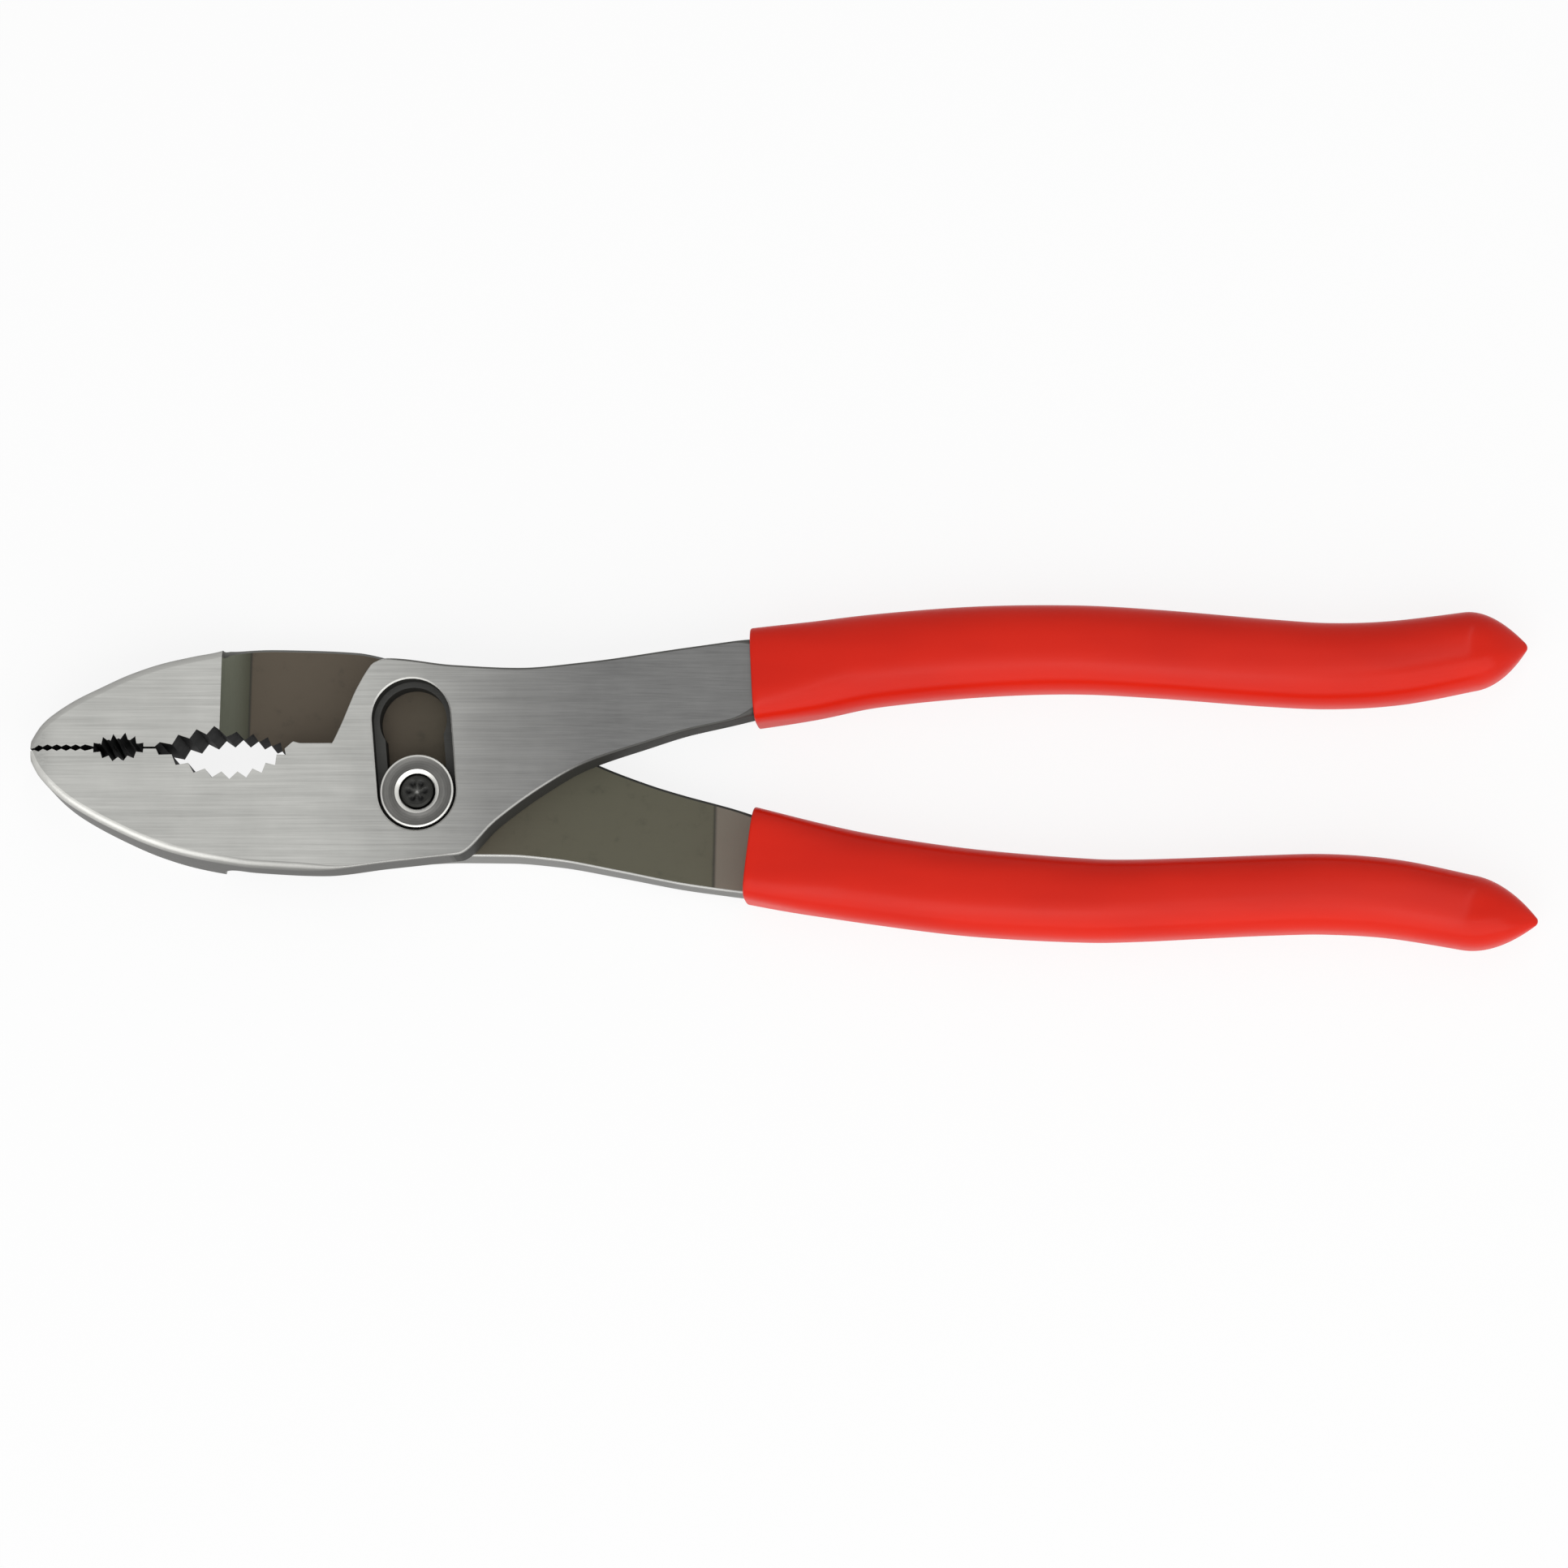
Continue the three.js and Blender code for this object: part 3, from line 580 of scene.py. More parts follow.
def outer_face(x, sizes):
    """Half the head's thickness, thinning along the arm, and rounded down as a square law at the nose."""
    nose = np.maximum(0, 1 - (x - NOSE_X) / sizes.nose_round_run)
    head = sizes.head_thickness / 2
    return head + (arm_half_thickness(sizes) - head) * arm_share(x) - sizes.nose_round * nose**2


def jaw_ramp(x):
    """1 on the jaw, 0 on the lap, along the hollow ramp between them."""
    return hollow_ramp(x, JAW_STEP_X, JAW_RAMP)


def arm_ramp(x):
    """0 on the lap, 1 in the sleeve, along the hollow ramp between them."""
    return hollow_ramp(ARM_RAMP_X + ARM_START_X - x, ARM_RAMP_X, ARM_RAMP)


def inner_face(x, sizes):
    """The lap plane, with hollow ramps out to the full thickness at the jaw and at the arm."""
    lap = sizes.lap_gap / 2
    jaw = (outer_face(np.minimum(x, 0), sizes) + lap) * jaw_ramp(x)
    return lap - jaw - (arm_half_thickness(sizes) + lap) * arm_ramp(x)


def outer_round(x, sizes, jaw_side):
    """Round of an outer edge: full along the jaw's back, keen on the heel's side and along the bare arm, and
    the tang's own round inside the sleeve."""
    keen = smoothstep(x, HEEL_X, HEEL_X + EDGE_FADE) if jaw_side else 1.0
    bare = sizes.edge_round + (sizes.keen_edge_round - sizes.edge_round) * keen
    in_sleeve = smoothstep(x, BARE_ARM_END_X - ROUND_RUN, BARE_ARM_END_X + ROUND_RUN)
    return bare + (sizes.arm_edge_round - bare) * in_sleeve


def inner_round(x, sizes, jaw_side):
    """Round of an inner edge: a broken edge on the lap, the outer edge's round where the half is full."""
    through = np.maximum(jaw_ramp(x), arm_ramp(x))
    return sizes.lap_edge_round + (outer_round(x, sizes, jaw_side) - sizes.lap_edge_round) * through


def edge_pair(low_points, high_points, handle, sizes):
    """Low and high plan edges of a half from the nose along the arm, then along the handle's steel tang."""
    ramp = JAW_STEP_X + JAW_RAMP * (1 - np.cos(np.linspace(0, np.pi / 2, RAMP_STEPS)))
    knots = np.concatenate([low_points[:, 0], high_points[:, 0], ramp, [ARM_RAMP_X, BARE_ARM_END_X]])
    filled = np.arange(NOSE_X, BARE_ARM_END_X, STATION_STEP)
    filled = filled[np.abs(filled[:, None] - knots).min(1) > STATION_STEP / 2]
    places = np.sort(np.concatenate([knots, filled]))
    places = places[np.concatenate([[True], np.diff(places) > SAME_STATION])]
    tang_ends = (TANG_START_X - SLEEVE_FRONT_X) / SLEEVE_BODY, 1 - TANG_SHORT_OF_TAPER / SLEEVE_BODY
    point, across, half = handle_line(handle)(np.linspace(*tang_ends, TANG_STEPS))
    aside = across * (half - sizes.sleeve_wall - sizes.sleeve_fit)[:, None]

    def edge(points, tang):
        return np.concatenate([np.column_stack([places, smooth_edge(points)(places)]), tang])

    return edge(low_points, point - aside), edge(high_points, point + aside)


def slant(edge, inward):
    """How much longer a slice through an edge's round is than the round itself, up to a limit."""
    along = unit(np.concatenate([edge[1:2] - edge[:1], edge[2:] - edge[:-2], edge[-1:] - edge[-2:-1]]))
    square_on = np.abs(along[:, 0] * inward[:, 1] - along[:, 1] * inward[:, 0])
    return 1 / np.maximum(square_on, 1 / MOST_SLANT)


def bar_grid(low, high, face_side, sizes, grow=0.0):
    """Rings of a rounded bar: at each station four quarter rounds join the two edges to the two faces. Each
    ring stays in a flat slice, where the round of a slanting edge comes out longer."""
    angle = np.linspace(0, np.pi / 2, ROUND_STEPS + 1)
    across = unit(high - low)

    def corner(edge, inward, upper):
        outer = upper == (face_side > 0)
        jaw_side = inward[0, 1] * face_side > 0
        radius = (outer_round if outer else inner_round)(edge[:, 0], sizes, jaw_side)[:, None] + grow
        inset = (radius * (1 - np.cos(angle)) - grow) * slant(edge, inward)[:, None]
        plan = edge[:, None] + inward[:, None] * inset[..., None]
        face = (outer_face if outer else inner_face)(plan[..., 0], sizes)
        rise = grow - radius * (1 - np.sin(angle))
        height = sizes.head_thickness / 2 + face_side * face + (1 if upper else -1) * rise
        return np.concatenate([plan, height[..., None]], -1)

    return np.concatenate([
        corner(high, -across, False)[:, ::-1],
        corner(high, -across, True),
        corner(low, across, True)[:, ::-1],
        corner(low, across, False),
    ], 1)


def half_masks(grid, face_side):
    """Finish of each quad of a half by its place in the ring, which holds the high edge, the upper face, the
    low edge and the under face in turn, and by how far along the tool it is. The edges take polish with
    painted highlight, and the inner walls and upper edges take painted shade."""
    step = ROUND_STEPS + 1
    place = np.arange(4 * step)
    wall = np.isin(place, (step - 1, 3 * step - 1))
    face = np.isin(place, (2 * step - 1, 4 * step - 1))
    inner = place == (4 * step - 1 if face_side > 0 else 2 * step - 1)
    high = place < 2 * step
    jaw_side = ~face & (high == (face_side < 0))
    heel_side = ~face & ~jaw_side
    x = np.broadcast_to(((grid[1:] + grid[:-1]) / 2)[:, :1, 0], (len(grid) - 1, len(place)))
    lapped = (x > JAW_STEP_X + JAW_RAMP) & (x < ARM_RAMP_X)
    ramped = (x > JAW_STEP_X) & (x < ARM_START_X) & ~lapped
    between_arms = smoothstep(x, *BETWEEN_ARMS)
    by_diagonal = smoothstep(x, *BY_DIAGONAL) * (1 - between_arms)
    if face_side > 0:
        near_nose = 1 - smoothstep(x, NOSE_GRIP_END_X, PIPE_END_X)
        behind_heel = smoothstep(x, *BEHIND_HEEL)
        jaw_polish_and_highlight = FRONT_JAW_POLISH_AND_HIGHLIGHT * near_nose * ~wall + FRONT_DIAGONAL_POLISH_AND_HIGHLIGHT * by_diagonal
        heel_polish_and_highlight = FRONT_HEEL_POLISH_AND_HIGHLIGHT * (1 - behind_heel)
        thin_shade_line = heel_side * behind_heel
    else:
        jaw_polish_and_highlight = REAR_JAW_POLISH_AND_HIGHLIGHT * (x < JAW_STEP_X) * ~wall
        heel_polish_and_highlight = REAR_HEEL_POLISH_AND_HIGHLIGHT
        thin_shade_line = jaw_side * (x > JAW_STEP_X)
    # Edges take polish with painted highlight, strongest along the lower jaw's outer edge
    polish_and_highlight = jaw_side * jaw_polish_and_highlight + heel_side * heel_polish_and_highlight
    # Forging scale with painted shade between the arms, painted shade on the diagonal's wall by the crotch,
    # and a thin painted shade line along the upper edges
    scale = between_arms * np.where(wall, 1, ROUND_SCALE_AND_SHADE) + by_diagonal * wall
    return {
        "lap": inner & lapped,
        "ramp": inner & ramped,
        "wall": ~face * (1 - polish_and_highlight) * np.where(wall, 1, ROUND_GRIND),
        "edge": polish_and_highlight,
        "gap": np.clip(jaw_side * scale + THIN_LINE_SHADE * thin_shade_line, 0, 1),
    }


def toothed_arc(start, end, depth, pitch, tooth, lean=0.0):
    """Teeth along a hollow arc: roots on the circle through its ends and its depth, points one tooth inside.
    The lean moves the deepest place towards the end."""
    half_chord = (end - start) / 2
    radius = (half_chord**2 + depth**2) / (2 * depth)
    sweep = math.asin(min(1, half_chord / radius))
    count = max(2, round(2 * sweep * radius / pitch))
    share = np.arange(2 * count + 1) / count - 1
    reach = radius - tooth * (np.arange(2 * count + 1) % 2 == 0)
    along = (start + end) / 2 + reach * np.sin(sweep * share) + lean * (1 - share**2)
    deep = depth - radius + reach * np.cos(sweep * share)
    return np.column_stack([np.clip(along, start, end), np.maximum(deep, 0)])


def bite_cutter(name, pipe_depth, pocket_taper, into_jaw, sizes):
    """What the biting edge takes off a jaw: a prism of everything past the seam, with the teeth on its rim.
    The pocket gets shallower towards the back by the given share of its depth."""
    level = SEAM_Y + into_jaw * SEAM_GAP / 2
    clear = sizes.head_thickness
    count = math.floor((NOSE_GRIP_END_X - NOSE_X) / sizes.nose_pitch)
    corner = np.arange(2 * count)
    along = NOSE_GRIP_END_X - sizes.nose_pitch * (count - corner / 2)
    nose = np.column_stack([along, sizes.nose_tooth * (corner % 2)])
    pocket = toothed_arc(NOSE_GRIP_END_X, POCKET_END_X, POCKET_DEPTH, sizes.pocket_pitch, sizes.pocket_tooth)
    pipe = toothed_arc(PIPE_START_X, PIPE_END_X, pipe_depth, sizes.pipe_pitch, sizes.pipe_tooth, PIPE_LEAN)
    far = SEAM_Y - into_jaw * clear
    heel = SEAM_Y - into_jaw * (HEEL_LAP + sizes.edge_round)

    def outline(pocket_share):
        line = np.concatenate([nose, pocket * [1, pocket_share], pipe]) * [1, into_jaw] + [0, level]
        rim = [(NOSE_X - clear, level), *line, (HEEL_X, heel), (HEEL_X, far), (NOSE_X - clear, far)]
        return np.array(rim[::-1] if into_jaw > 0 else rim)

    foot, top = outline(1 - 2 * pocket_taper), outline(1 + pocket_taper)
    # The teeth's faces take the bite mask: dark oxide with painted shade
    return flat_faces(prism(name, top, -clear, 2 * clear, foot, bite=1.0))


def slot_outline(bore, neck):
    """Outline along the slip slide, anticlockwise: a round of the bore's width about each end of the bolt's
    travel, joined by a straight neck."""
    meet = math.asin(min(1, neck / bore))
    angle = math.atan2(SLIP_AXIS[1], SLIP_AXIS[0]) + np.linspace(meet, 2 * np.pi - meet, TURN_SIDES)
    arc = np.column_stack([np.cos(angle), np.sin(angle)]) * bore / 2
    return np.concatenate([arc, SLIP_AXIS * SLIP_TRAVEL - arc])


def slot_cutters(sizes):
    """The slot's upper step, its flared rim, and the bolt's two bores with the neck for its flats."""
    top = sizes.head_thickness
    play = 2 * sizes.running_fit
    step = slot_outline(sizes.slot_width, sizes.slot_width)
    through = slot_outline(sizes.bolt_diameter + play, sizes.bolt_flats + play)
    rim_low, rim_high = top - sizes.slot_chamfer, top + sizes.slot_chamfer
    flared = sizes.slot_width + 2 * (rim_high - rim_low)
    return [
        # The slot's walls and its ledge take the dark finish with painted shade
        prism("slot_step", step, top - sizes.slot_ledge_depth, 2 * top, first=LEDGE_SHADE, slot=1.0),
        # The slot's chamfered rim: polish with painted highlight
        prism("slot_rim", slot_outline(flared, flared), rim_low, rim_high, step, edge=SLOT_RIM_POLISH_AND_HIGHLIGHT),
        prism("slot_through", through, 0, 3 * top, slot=1.0),
    ]


def head_cutters(sizes):
    """The bolt's bore through the rear half and the recess for its flat head."""
    recess = sizes.bolt_head_sunk + sizes.bolt_head_height + sizes.running_fit
    angle = full_turn(TURN_SIDES)
    ring = np.column_stack([np.cos(angle), np.sin(angle)])
    bore = sizes.bolt_diameter / 2 + sizes.running_fit
    head = sizes.bolt_head_diameter / 2 + sizes.running_fit
    return [
        # The bore and the head's recess take the slot's dark finish with painted shade
        prism("bolt_bore", ring * bore, -sizes.head_thickness, sizes.head_thickness, slot=1.0),
        prism("head_recess", ring * head, -sizes.head_thickness, recess, last=1.0, slot=1.0),
    ]


def edge_points(jaw_rows, side, rows):
    """Points of an edge in metres from the bolt: jaw rows in millimetres from the seam, then the rest."""
    return np.concatenate([np.array(jaw_rows) * [MM, side * MM] + [0, SEAM_Y], np.array(rows) * MM])


def half_edges(sizes):
    """Edge pairs of the front half and of the rear half."""
    over_seam = NOSE_HALF_WIDTH - sizes.edge_round / 2
    bitten = np.array([(NOSE_X, over_seam), (PIPE_END_X, over_seam), (HEEL_X, HEEL_LAP)]) / MM
    front_low = edge_points(LOWER_JAW_EDGE, -1, FRONT_DIAGONAL)
    front_high = edge_points(bitten, 1, FRONT_TOP_EDGE)
    rear_low = edge_points(bitten, -1, REAR_BOTTOM_EDGE)
    rear_high = edge_points(UPPER_JAW_EDGE, 1, REAR_DIAGONAL)
    front = edge_pair(front_low, front_high, UPPER_HANDLE, sizes)
    rear = edge_pair(rear_low, rear_high, LOWER_HANDLE, sizes)
    return front, rear


# Pivot

def press_flats(rings, half):
    """Presses rings flat in place, at the given half distance on both sides of the slip slide."""
    across = np.array([SLIP_AXIS[1], -SLIP_AXIS[0]])
    side = rings[..., :2] @ across
    rings[..., :2] += (np.clip(side, -half, half) - side)[..., None] * across


def staked_bolt(sizes):
    """A turned bolt pressed flat on two sides above the middle plane. Its end is dented by a dish with a pip,
    and by a star round it, a ring whose depth follows the cosine of the angle and is 0 on the axis."""
    low = sizes.bolt_head_sunk
    head_top = low + sizes.bolt_head_height
    ledge = sizes.head_thickness - sizes.slot_ledge_depth
    top = ledge + sizes.running_fit + sizes.nut_height
    head, shank, end = sizes.bolt_head_diameter / 2, sizes.bolt_diameter / 2, sizes.bolt_end_diameter / 2
    chamfer = sizes.bolt_chamfer
    middle, shoulder = sizes.head_thickness / 2, sizes.lap_gap / 4
    crown_radius = np.linspace(end - chamfer, 0, CROWN_STEPS)
    round_rows = [
        (0, low), (head - chamfer, low), (head, low + chamfer), (head, head_top), (shank, head_top),
        (shank, middle - shoulder),
    ]
    flat_rows = [(shank, middle + shoulder), (shank, ledge)]
    end_rows = [(end, ledge), (end, top - chamfer)]
    crown_rows = np.column_stack([crown_radius, np.full(CROWN_STEPS, top)])
    grid = turned_grid([*round_rows, *flat_rows, *end_rows, *crown_rows])
    press_flats(grid[len(round_rows):len(round_rows) + len(flat_rows)], sizes.bolt_flats / 2)
    radius = (crown_radius / end)[:, None]
    swing = 1 - STAR_FADE * (1 - np.cos(STAR_POINTS * full_turn(TURN_SIDES))) / 2
    star = np.sign(radius) * bell(radius - STAR_RADIUS, STAR_WIDTH) * swing
    pip = bell(radius, PIP_WIDTH)
    grid[-CROWN_STEPS:, :, 2] += sizes.stake_depth * (PIP_HEIGHT * pip - bell(radius, DISH_WIDTH) - star)
    # Painted shade in the star's dents, and painted highlight on the pip
    stain, polish_and_highlight = np.zeros((2, len(grid) - 1, TURN_SIDES))
    stain[1 - CROWN_STEPS:] = np.clip(DENT_SHADE_RISE * star + DENT_SHADE_START, 0, MOST_DENT_SHADE)[1:]
    polish_and_highlight[1 - CROWN_STEPS:] = PIP_POLISH_AND_HIGHLIGHT * pip[1:]
    return turned("pivot_bolt_steel", grid, bite=stain, edge=polish_and_highlight)


def dished_nut(sizes):
    """A turned ring with a rounded outer edge, a face that is dished by a square law between its two edges,
    and a wide bevel down into the bore. Both edges are bright from polish and painted highlight."""
    low = sizes.head_thickness - sizes.slot_ledge_depth + sizes.running_fit
    top = low + sizes.nut_height
    outer = sizes.slot_width / 2 - sizes.running_fit
    bore = sizes.bolt_end_diameter / 2 + sizes.running_fit
    chamfer = sizes.nut_chamfer
    rim_in, rim_down = RIM_MIDDLE
    face_out, face_in = outer - chamfer, bore + BORE_BEVEL * chamfer
    across = np.linspace(-1, 1, DISH_STEPS)
    under_rows = [(bore, low), (outer, low)]
    rim_rows = [(outer, top - chamfer), (outer - rim_in * chamfer, top - rim_down * chamfer)]
    face_rows = np.column_stack([
        (face_out + face_in) / 2 - across * (face_out - face_in) / 2,
        top - sizes.nut_dish * (1 - across**2),
    ])
    bore_rows = [(bore, top - chamfer), (bore, low)]
    grid = turned_grid([*under_rows, *rim_rows, *face_rows, *bore_rows])
    polish_and_highlight = np.zeros((len(grid) - 1, 1))
    # The nut's rim and bore bevel: polish with painted highlight
    polish_and_highlight[len(under_rows):len(under_rows) + len(rim_rows)] = NUT_RIM_POLISH_AND_HIGHLIGHT
    polish_and_highlight[-len(bore_rows)] = NUT_BEVEL_POLISH_AND_HIGHLIGHT
    return turned("pivot_nut_steel", grid, edge=polish_and_highlight)


# Dipped sleeves

def drip_tip(start, along, half, handle, sizes):
    """Centres of a tip's rings, and what they make of a half size of the sleeve's body. The tip's line is a
    quadratic curve that sets out straight on. Its sizes are drawn in by one less a power of the share of its
    length, and it is closed by the cap of a ball that carries on the taper's slope."""
    nub = sizes.tip_half_width
    tip = np.array([start[0] + handle["tip_length"], handle["tip_y"]])
    straight_on = start + along * handle["tip_length"] / 2
    reach = np.linalg.norm(tip - straight_on)
    tip_way = (tip - straight_on) / reach
    slope = math.atan(sizes.tip_fullness * (half - nub) / (2 * reach))
    ball = nub / math.cos(slope)
    cap_foot = tip - ball * (1 - math.sin(slope)) * tip_way
    run = 1 - (1 - np.linspace(0, 1, TIP_STEPS + 1)[1:, None]) ** TIP_CROWDING
    taper = (1 - run) ** 2 * start + 2 * run * (1 - run) * straight_on + run**2 * cap_foot
    drawn = run[:, 0] ** sizes.tip_fullness
    cap_turn = np.linspace(slope, CAP_END_TURN, CAP_STEPS + 1)[1:]
    cap = cap_foot + ball * (np.sin(cap_turn) - math.sin(slope))[:, None] * tip_way

    def drawn_in(size):
        return np.concatenate([size + (nub - size) * drawn, ball * np.cos(cap_turn)])

    return np.concatenate([taper, cap]), drawn_in


def rounded_section(squareness):
    """Sideways and upward shares round a superellipse of the given power."""
    angle = full_turn(SLEEVE_SIDES)
    return [np.sign(share) * np.abs(share) ** (2 / squareness) for share in (np.cos(angle), np.sin(angle))]


def sleeve_grid(handle, sizes):
    """Rings of a sleeve: a superellipse carried along the handle's line, squarer at the mouth, where it is
    rounded in along a quarter circle, and drawn in at the tip."""
    lip = sizes.sleeve_lip
    lip_turn = np.linspace(0, np.pi / 2, LIP_STEPS, endpoint=False)
    lip_share = lip * (1 - np.cos(lip_turn)) / SLEEVE_BODY
    body_share = np.linspace(lip / SLEEVE_BODY, 1, SLEEVE_STEPS)
    point, across, half = handle_line(handle)(np.concatenate([lip_share, body_share]))
    inset = np.concatenate([lip * (1 - np.sin(lip_turn)), np.zeros(SLEEVE_STEPS)])
    along = across[-1, ::-1] * [1, -1]
    tip, drawn_in = drip_tip(point[-1], along, half[-1], handle, sizes)
    middle = sizes.sleeve_thickness / 2
    width = np.concatenate([half - inset, drawn_in(half[-1])])[:, None]
    height = np.concatenate([middle - inset, drawn_in(middle)])[:, None]
    point = np.concatenate([point, tip])[:, None]
    across = np.concatenate([across, np.repeat(across[-1:], len(tip), 0)])[:, None]
    from_mouth = (point[..., 0] - SLEEVE_FRONT_X) / SLEEVE_BODY
    boxy = sizes.mouth_squareness - sizes.sleeve_squareness
    squareness = sizes.sleeve_squareness + boxy * (1 - smoothstep(from_mouth, 0, MOUTH_SHARE))
    side, rise = rounded_section(squareness)
    plan = point + across * (width * side)[..., None]
    return np.concatenate([plan, (sizes.head_thickness / 2 + height * rise)[..., None]], -1)


def hollow_grid(edges, face_side, sizes):
    """The steel inside a sleeve, grown by the fit and carried a little past both of its ends."""
    low, high = edges
    inside = low[:, 0] >= SLEEVE_FRONT_X - sizes.sleeve_wall - sizes.sleeve_fit
    grid = bar_grid(low[inside], high[inside], face_side, sizes, sizes.sleeve_fit)
    return np.concatenate([grid, grid[-1:] + [sizes.sleeve_fit, 0, 0]])


# Shader sockets as values

class Wire:
    """A shader socket in an expression: each operator adds one Math node to its tree."""

    def __init__(self, tree, socket):
        self.tree = tree
        self.socket = socket

    def maths(self, operation, *terms):
        """The outcome of one Math node."""
        return make(self.tree, "Math", {"operation": operation}, dict(enumerate(terms)))[0]

    def __add__(self, other):
        return self.maths("ADD", self, other)

    def __sub__(self, other):
        return self.maths("SUBTRACT", self, other)

    def __rsub__(self, other):
        return self.maths("SUBTRACT", other, self)

    def __mul__(self, other):
        return self.maths("MULTIPLY", self, other)

    def __abs__(self):
        return self.maths("ABSOLUTE", self)

    __radd__ = __add__
    __rmul__ = __mul__


class Made:
    """A new node, whose outputs are read by name or number."""

    def __init__(self, tree, node):
        self.tree = tree
        self.node = node

    def __getitem__(self, output):
        return Wire(self.tree, self.node.outputs[output])


def make(tree, kind, settings=None, sockets=None):
    """One shader node of a type, with its settings, which are set first, and its sockets' values or links."""
    node = tree.nodes.new("ShaderNode" + kind)
    for name, value in (settings or {}).items():
        setattr(node, name, value)
    for key, value in (sockets or {}).items():
        if isinstance(value, Wire):
            tree.links.new(value.socket, node.inputs[key])
        else:
            node.inputs[key].default_value = value
    return Made(tree, node)


def new_material(name):
    """An empty node material and its tree."""
    material = bpy.data.materials.new(name)
    material.use_nodes = True
    material.node_tree.nodes.clear()
    return material, material.node_tree


def rgb(value):
    """A finish's colour as a colour socket takes it."""
    return (*value, 1.0)


def mix(tree, factor, first, second):
    """One colour turning into another as the factor goes from 0 to 1."""
    return make(tree, "Mix", {"data_type": "RGBA"}, {0: factor, 6: first, 7: second})[2]


def blend(tree, factor, first, second):
    """One number turning into another as the factor goes from 0 to 1."""
    return make(tree, "Mix", {"data_type": "FLOAT"}, {0: factor, 2: first, 3: second})[0]


def mask(tree, name):
    """A face mask of the piece, from 0 to 1."""
    return make(tree, "Attribute", {"attribute_name": name})["Fac"]


def noise(tree, vector, scale, detail=3.0, roughness=0.55):
    """Cloud noise from 0 to 1, centred on a half."""
    sockets = {"Vector": vector, "Scale": scale, "Detail": detail, "Roughness": roughness}
    return make(tree, "TexNoise", None, sockets)["Fac"]


def stretched(tree, vector, scale):
    """The coordinates stretched by a scale for each axis."""
    return make(tree, "Mapping", {"vector_type": "POINT"}, {"Vector": vector, "Scale": scale})["Vector"]


def stepped(tree, value, low, high):
    """0 below low, 1 above high and smooth between."""
    sockets = {"Value": value, "From Min": low, "From Max": high}
    return make(tree, "MapRange", {"interpolation_type": "SMOOTHSTEP"}, sockets)["Result"]


def band(tree, value, centre, half):
    """1 at the centre, falling to 0 at half the band's width on both sides."""
    return 1 - stepped(tree, abs(value - centre), 0, half)


def layered(tree, ground, layers):
    """The ground colour under layers of other colours, each as far as its own mask says."""
    for cover, colour_over in layers:
        ground = mix(tree, cover, ground, colour_over)
    return ground


def seen_straight(tree):
    """1 for what the camera sees straight, mirrored or through glass, 0 for light on a matt surface."""
    ray = make(tree, "LightPath")
    return ray["Is Camera Ray"] + ray["Is Glossy Ray"] + ray["Is Transmission Ray"]


def bumped(tree, height, strength, distance):
    """The surface's normal tilted by a height map."""
    return make(tree, "Bump", None, {"Strength": strength, "Distance": distance, "Height": height})["Normal"]


def finish_surface(tree, sockets):
    """Principled surface from its linked and settled sockets, joined to the output."""
    shader = make(tree, "BsdfPrincipled", None, sockets)["BSDF"]
    make(tree, "OutputMaterial", None, {"Surface": shader})


# Materials

def belt_steel(tree, finish, tone, along):
    """Steel between the dark valleys and the light crests of the grain, darker towards the sleeves."""
    toward_arm = stepped(tree, along, *ARM_DARKENING)
    dark = mix(tree, toward_arm, rgb(finish.ground_dark), rgb(finish.arm_dark))
    light = mix(tree, toward_arm, rgb(finish.ground_light), rgb(finish.arm_light))
    return mix(tree, tone, dark, light)


def lap_oxide(tree, finish, patch, along):
    """Oxide on the milled laps, brown by the jaw and olive by the arm, with spots of scale."""
    oxide = mix(tree, stepped(tree, along, *OXIDE_CHANGE), rgb(finish.lap_oxide), rgb(finish.arm_oxide))
    return mix(tree, stepped(tree, patch, 0.55, 0.8) * 0.25, oxide, rgb(finish.gap_scale_and_shade))


def ramp_oxide_and_shade(tree, finish, along):
    """Oxide in the hollow ramps: painted shade darkens the jaw's ramp towards its foot, and the arm's ramp is
    browner and lighter as painted light.
    """
    down_ramp = stepped(tree, along, JAW_STEP_X, JAW_STEP_X + JAW_RAMP)
    hollow = mix(tree, down_ramp, rgb(finish.ramp_oxide_and_shade), rgb(finish.ramp_foot_shade))
    return mix(tree, stepped(tree, along, 0, ARM_RAMP_X), hollow, rgb(finish.strip_oxide_and_light))


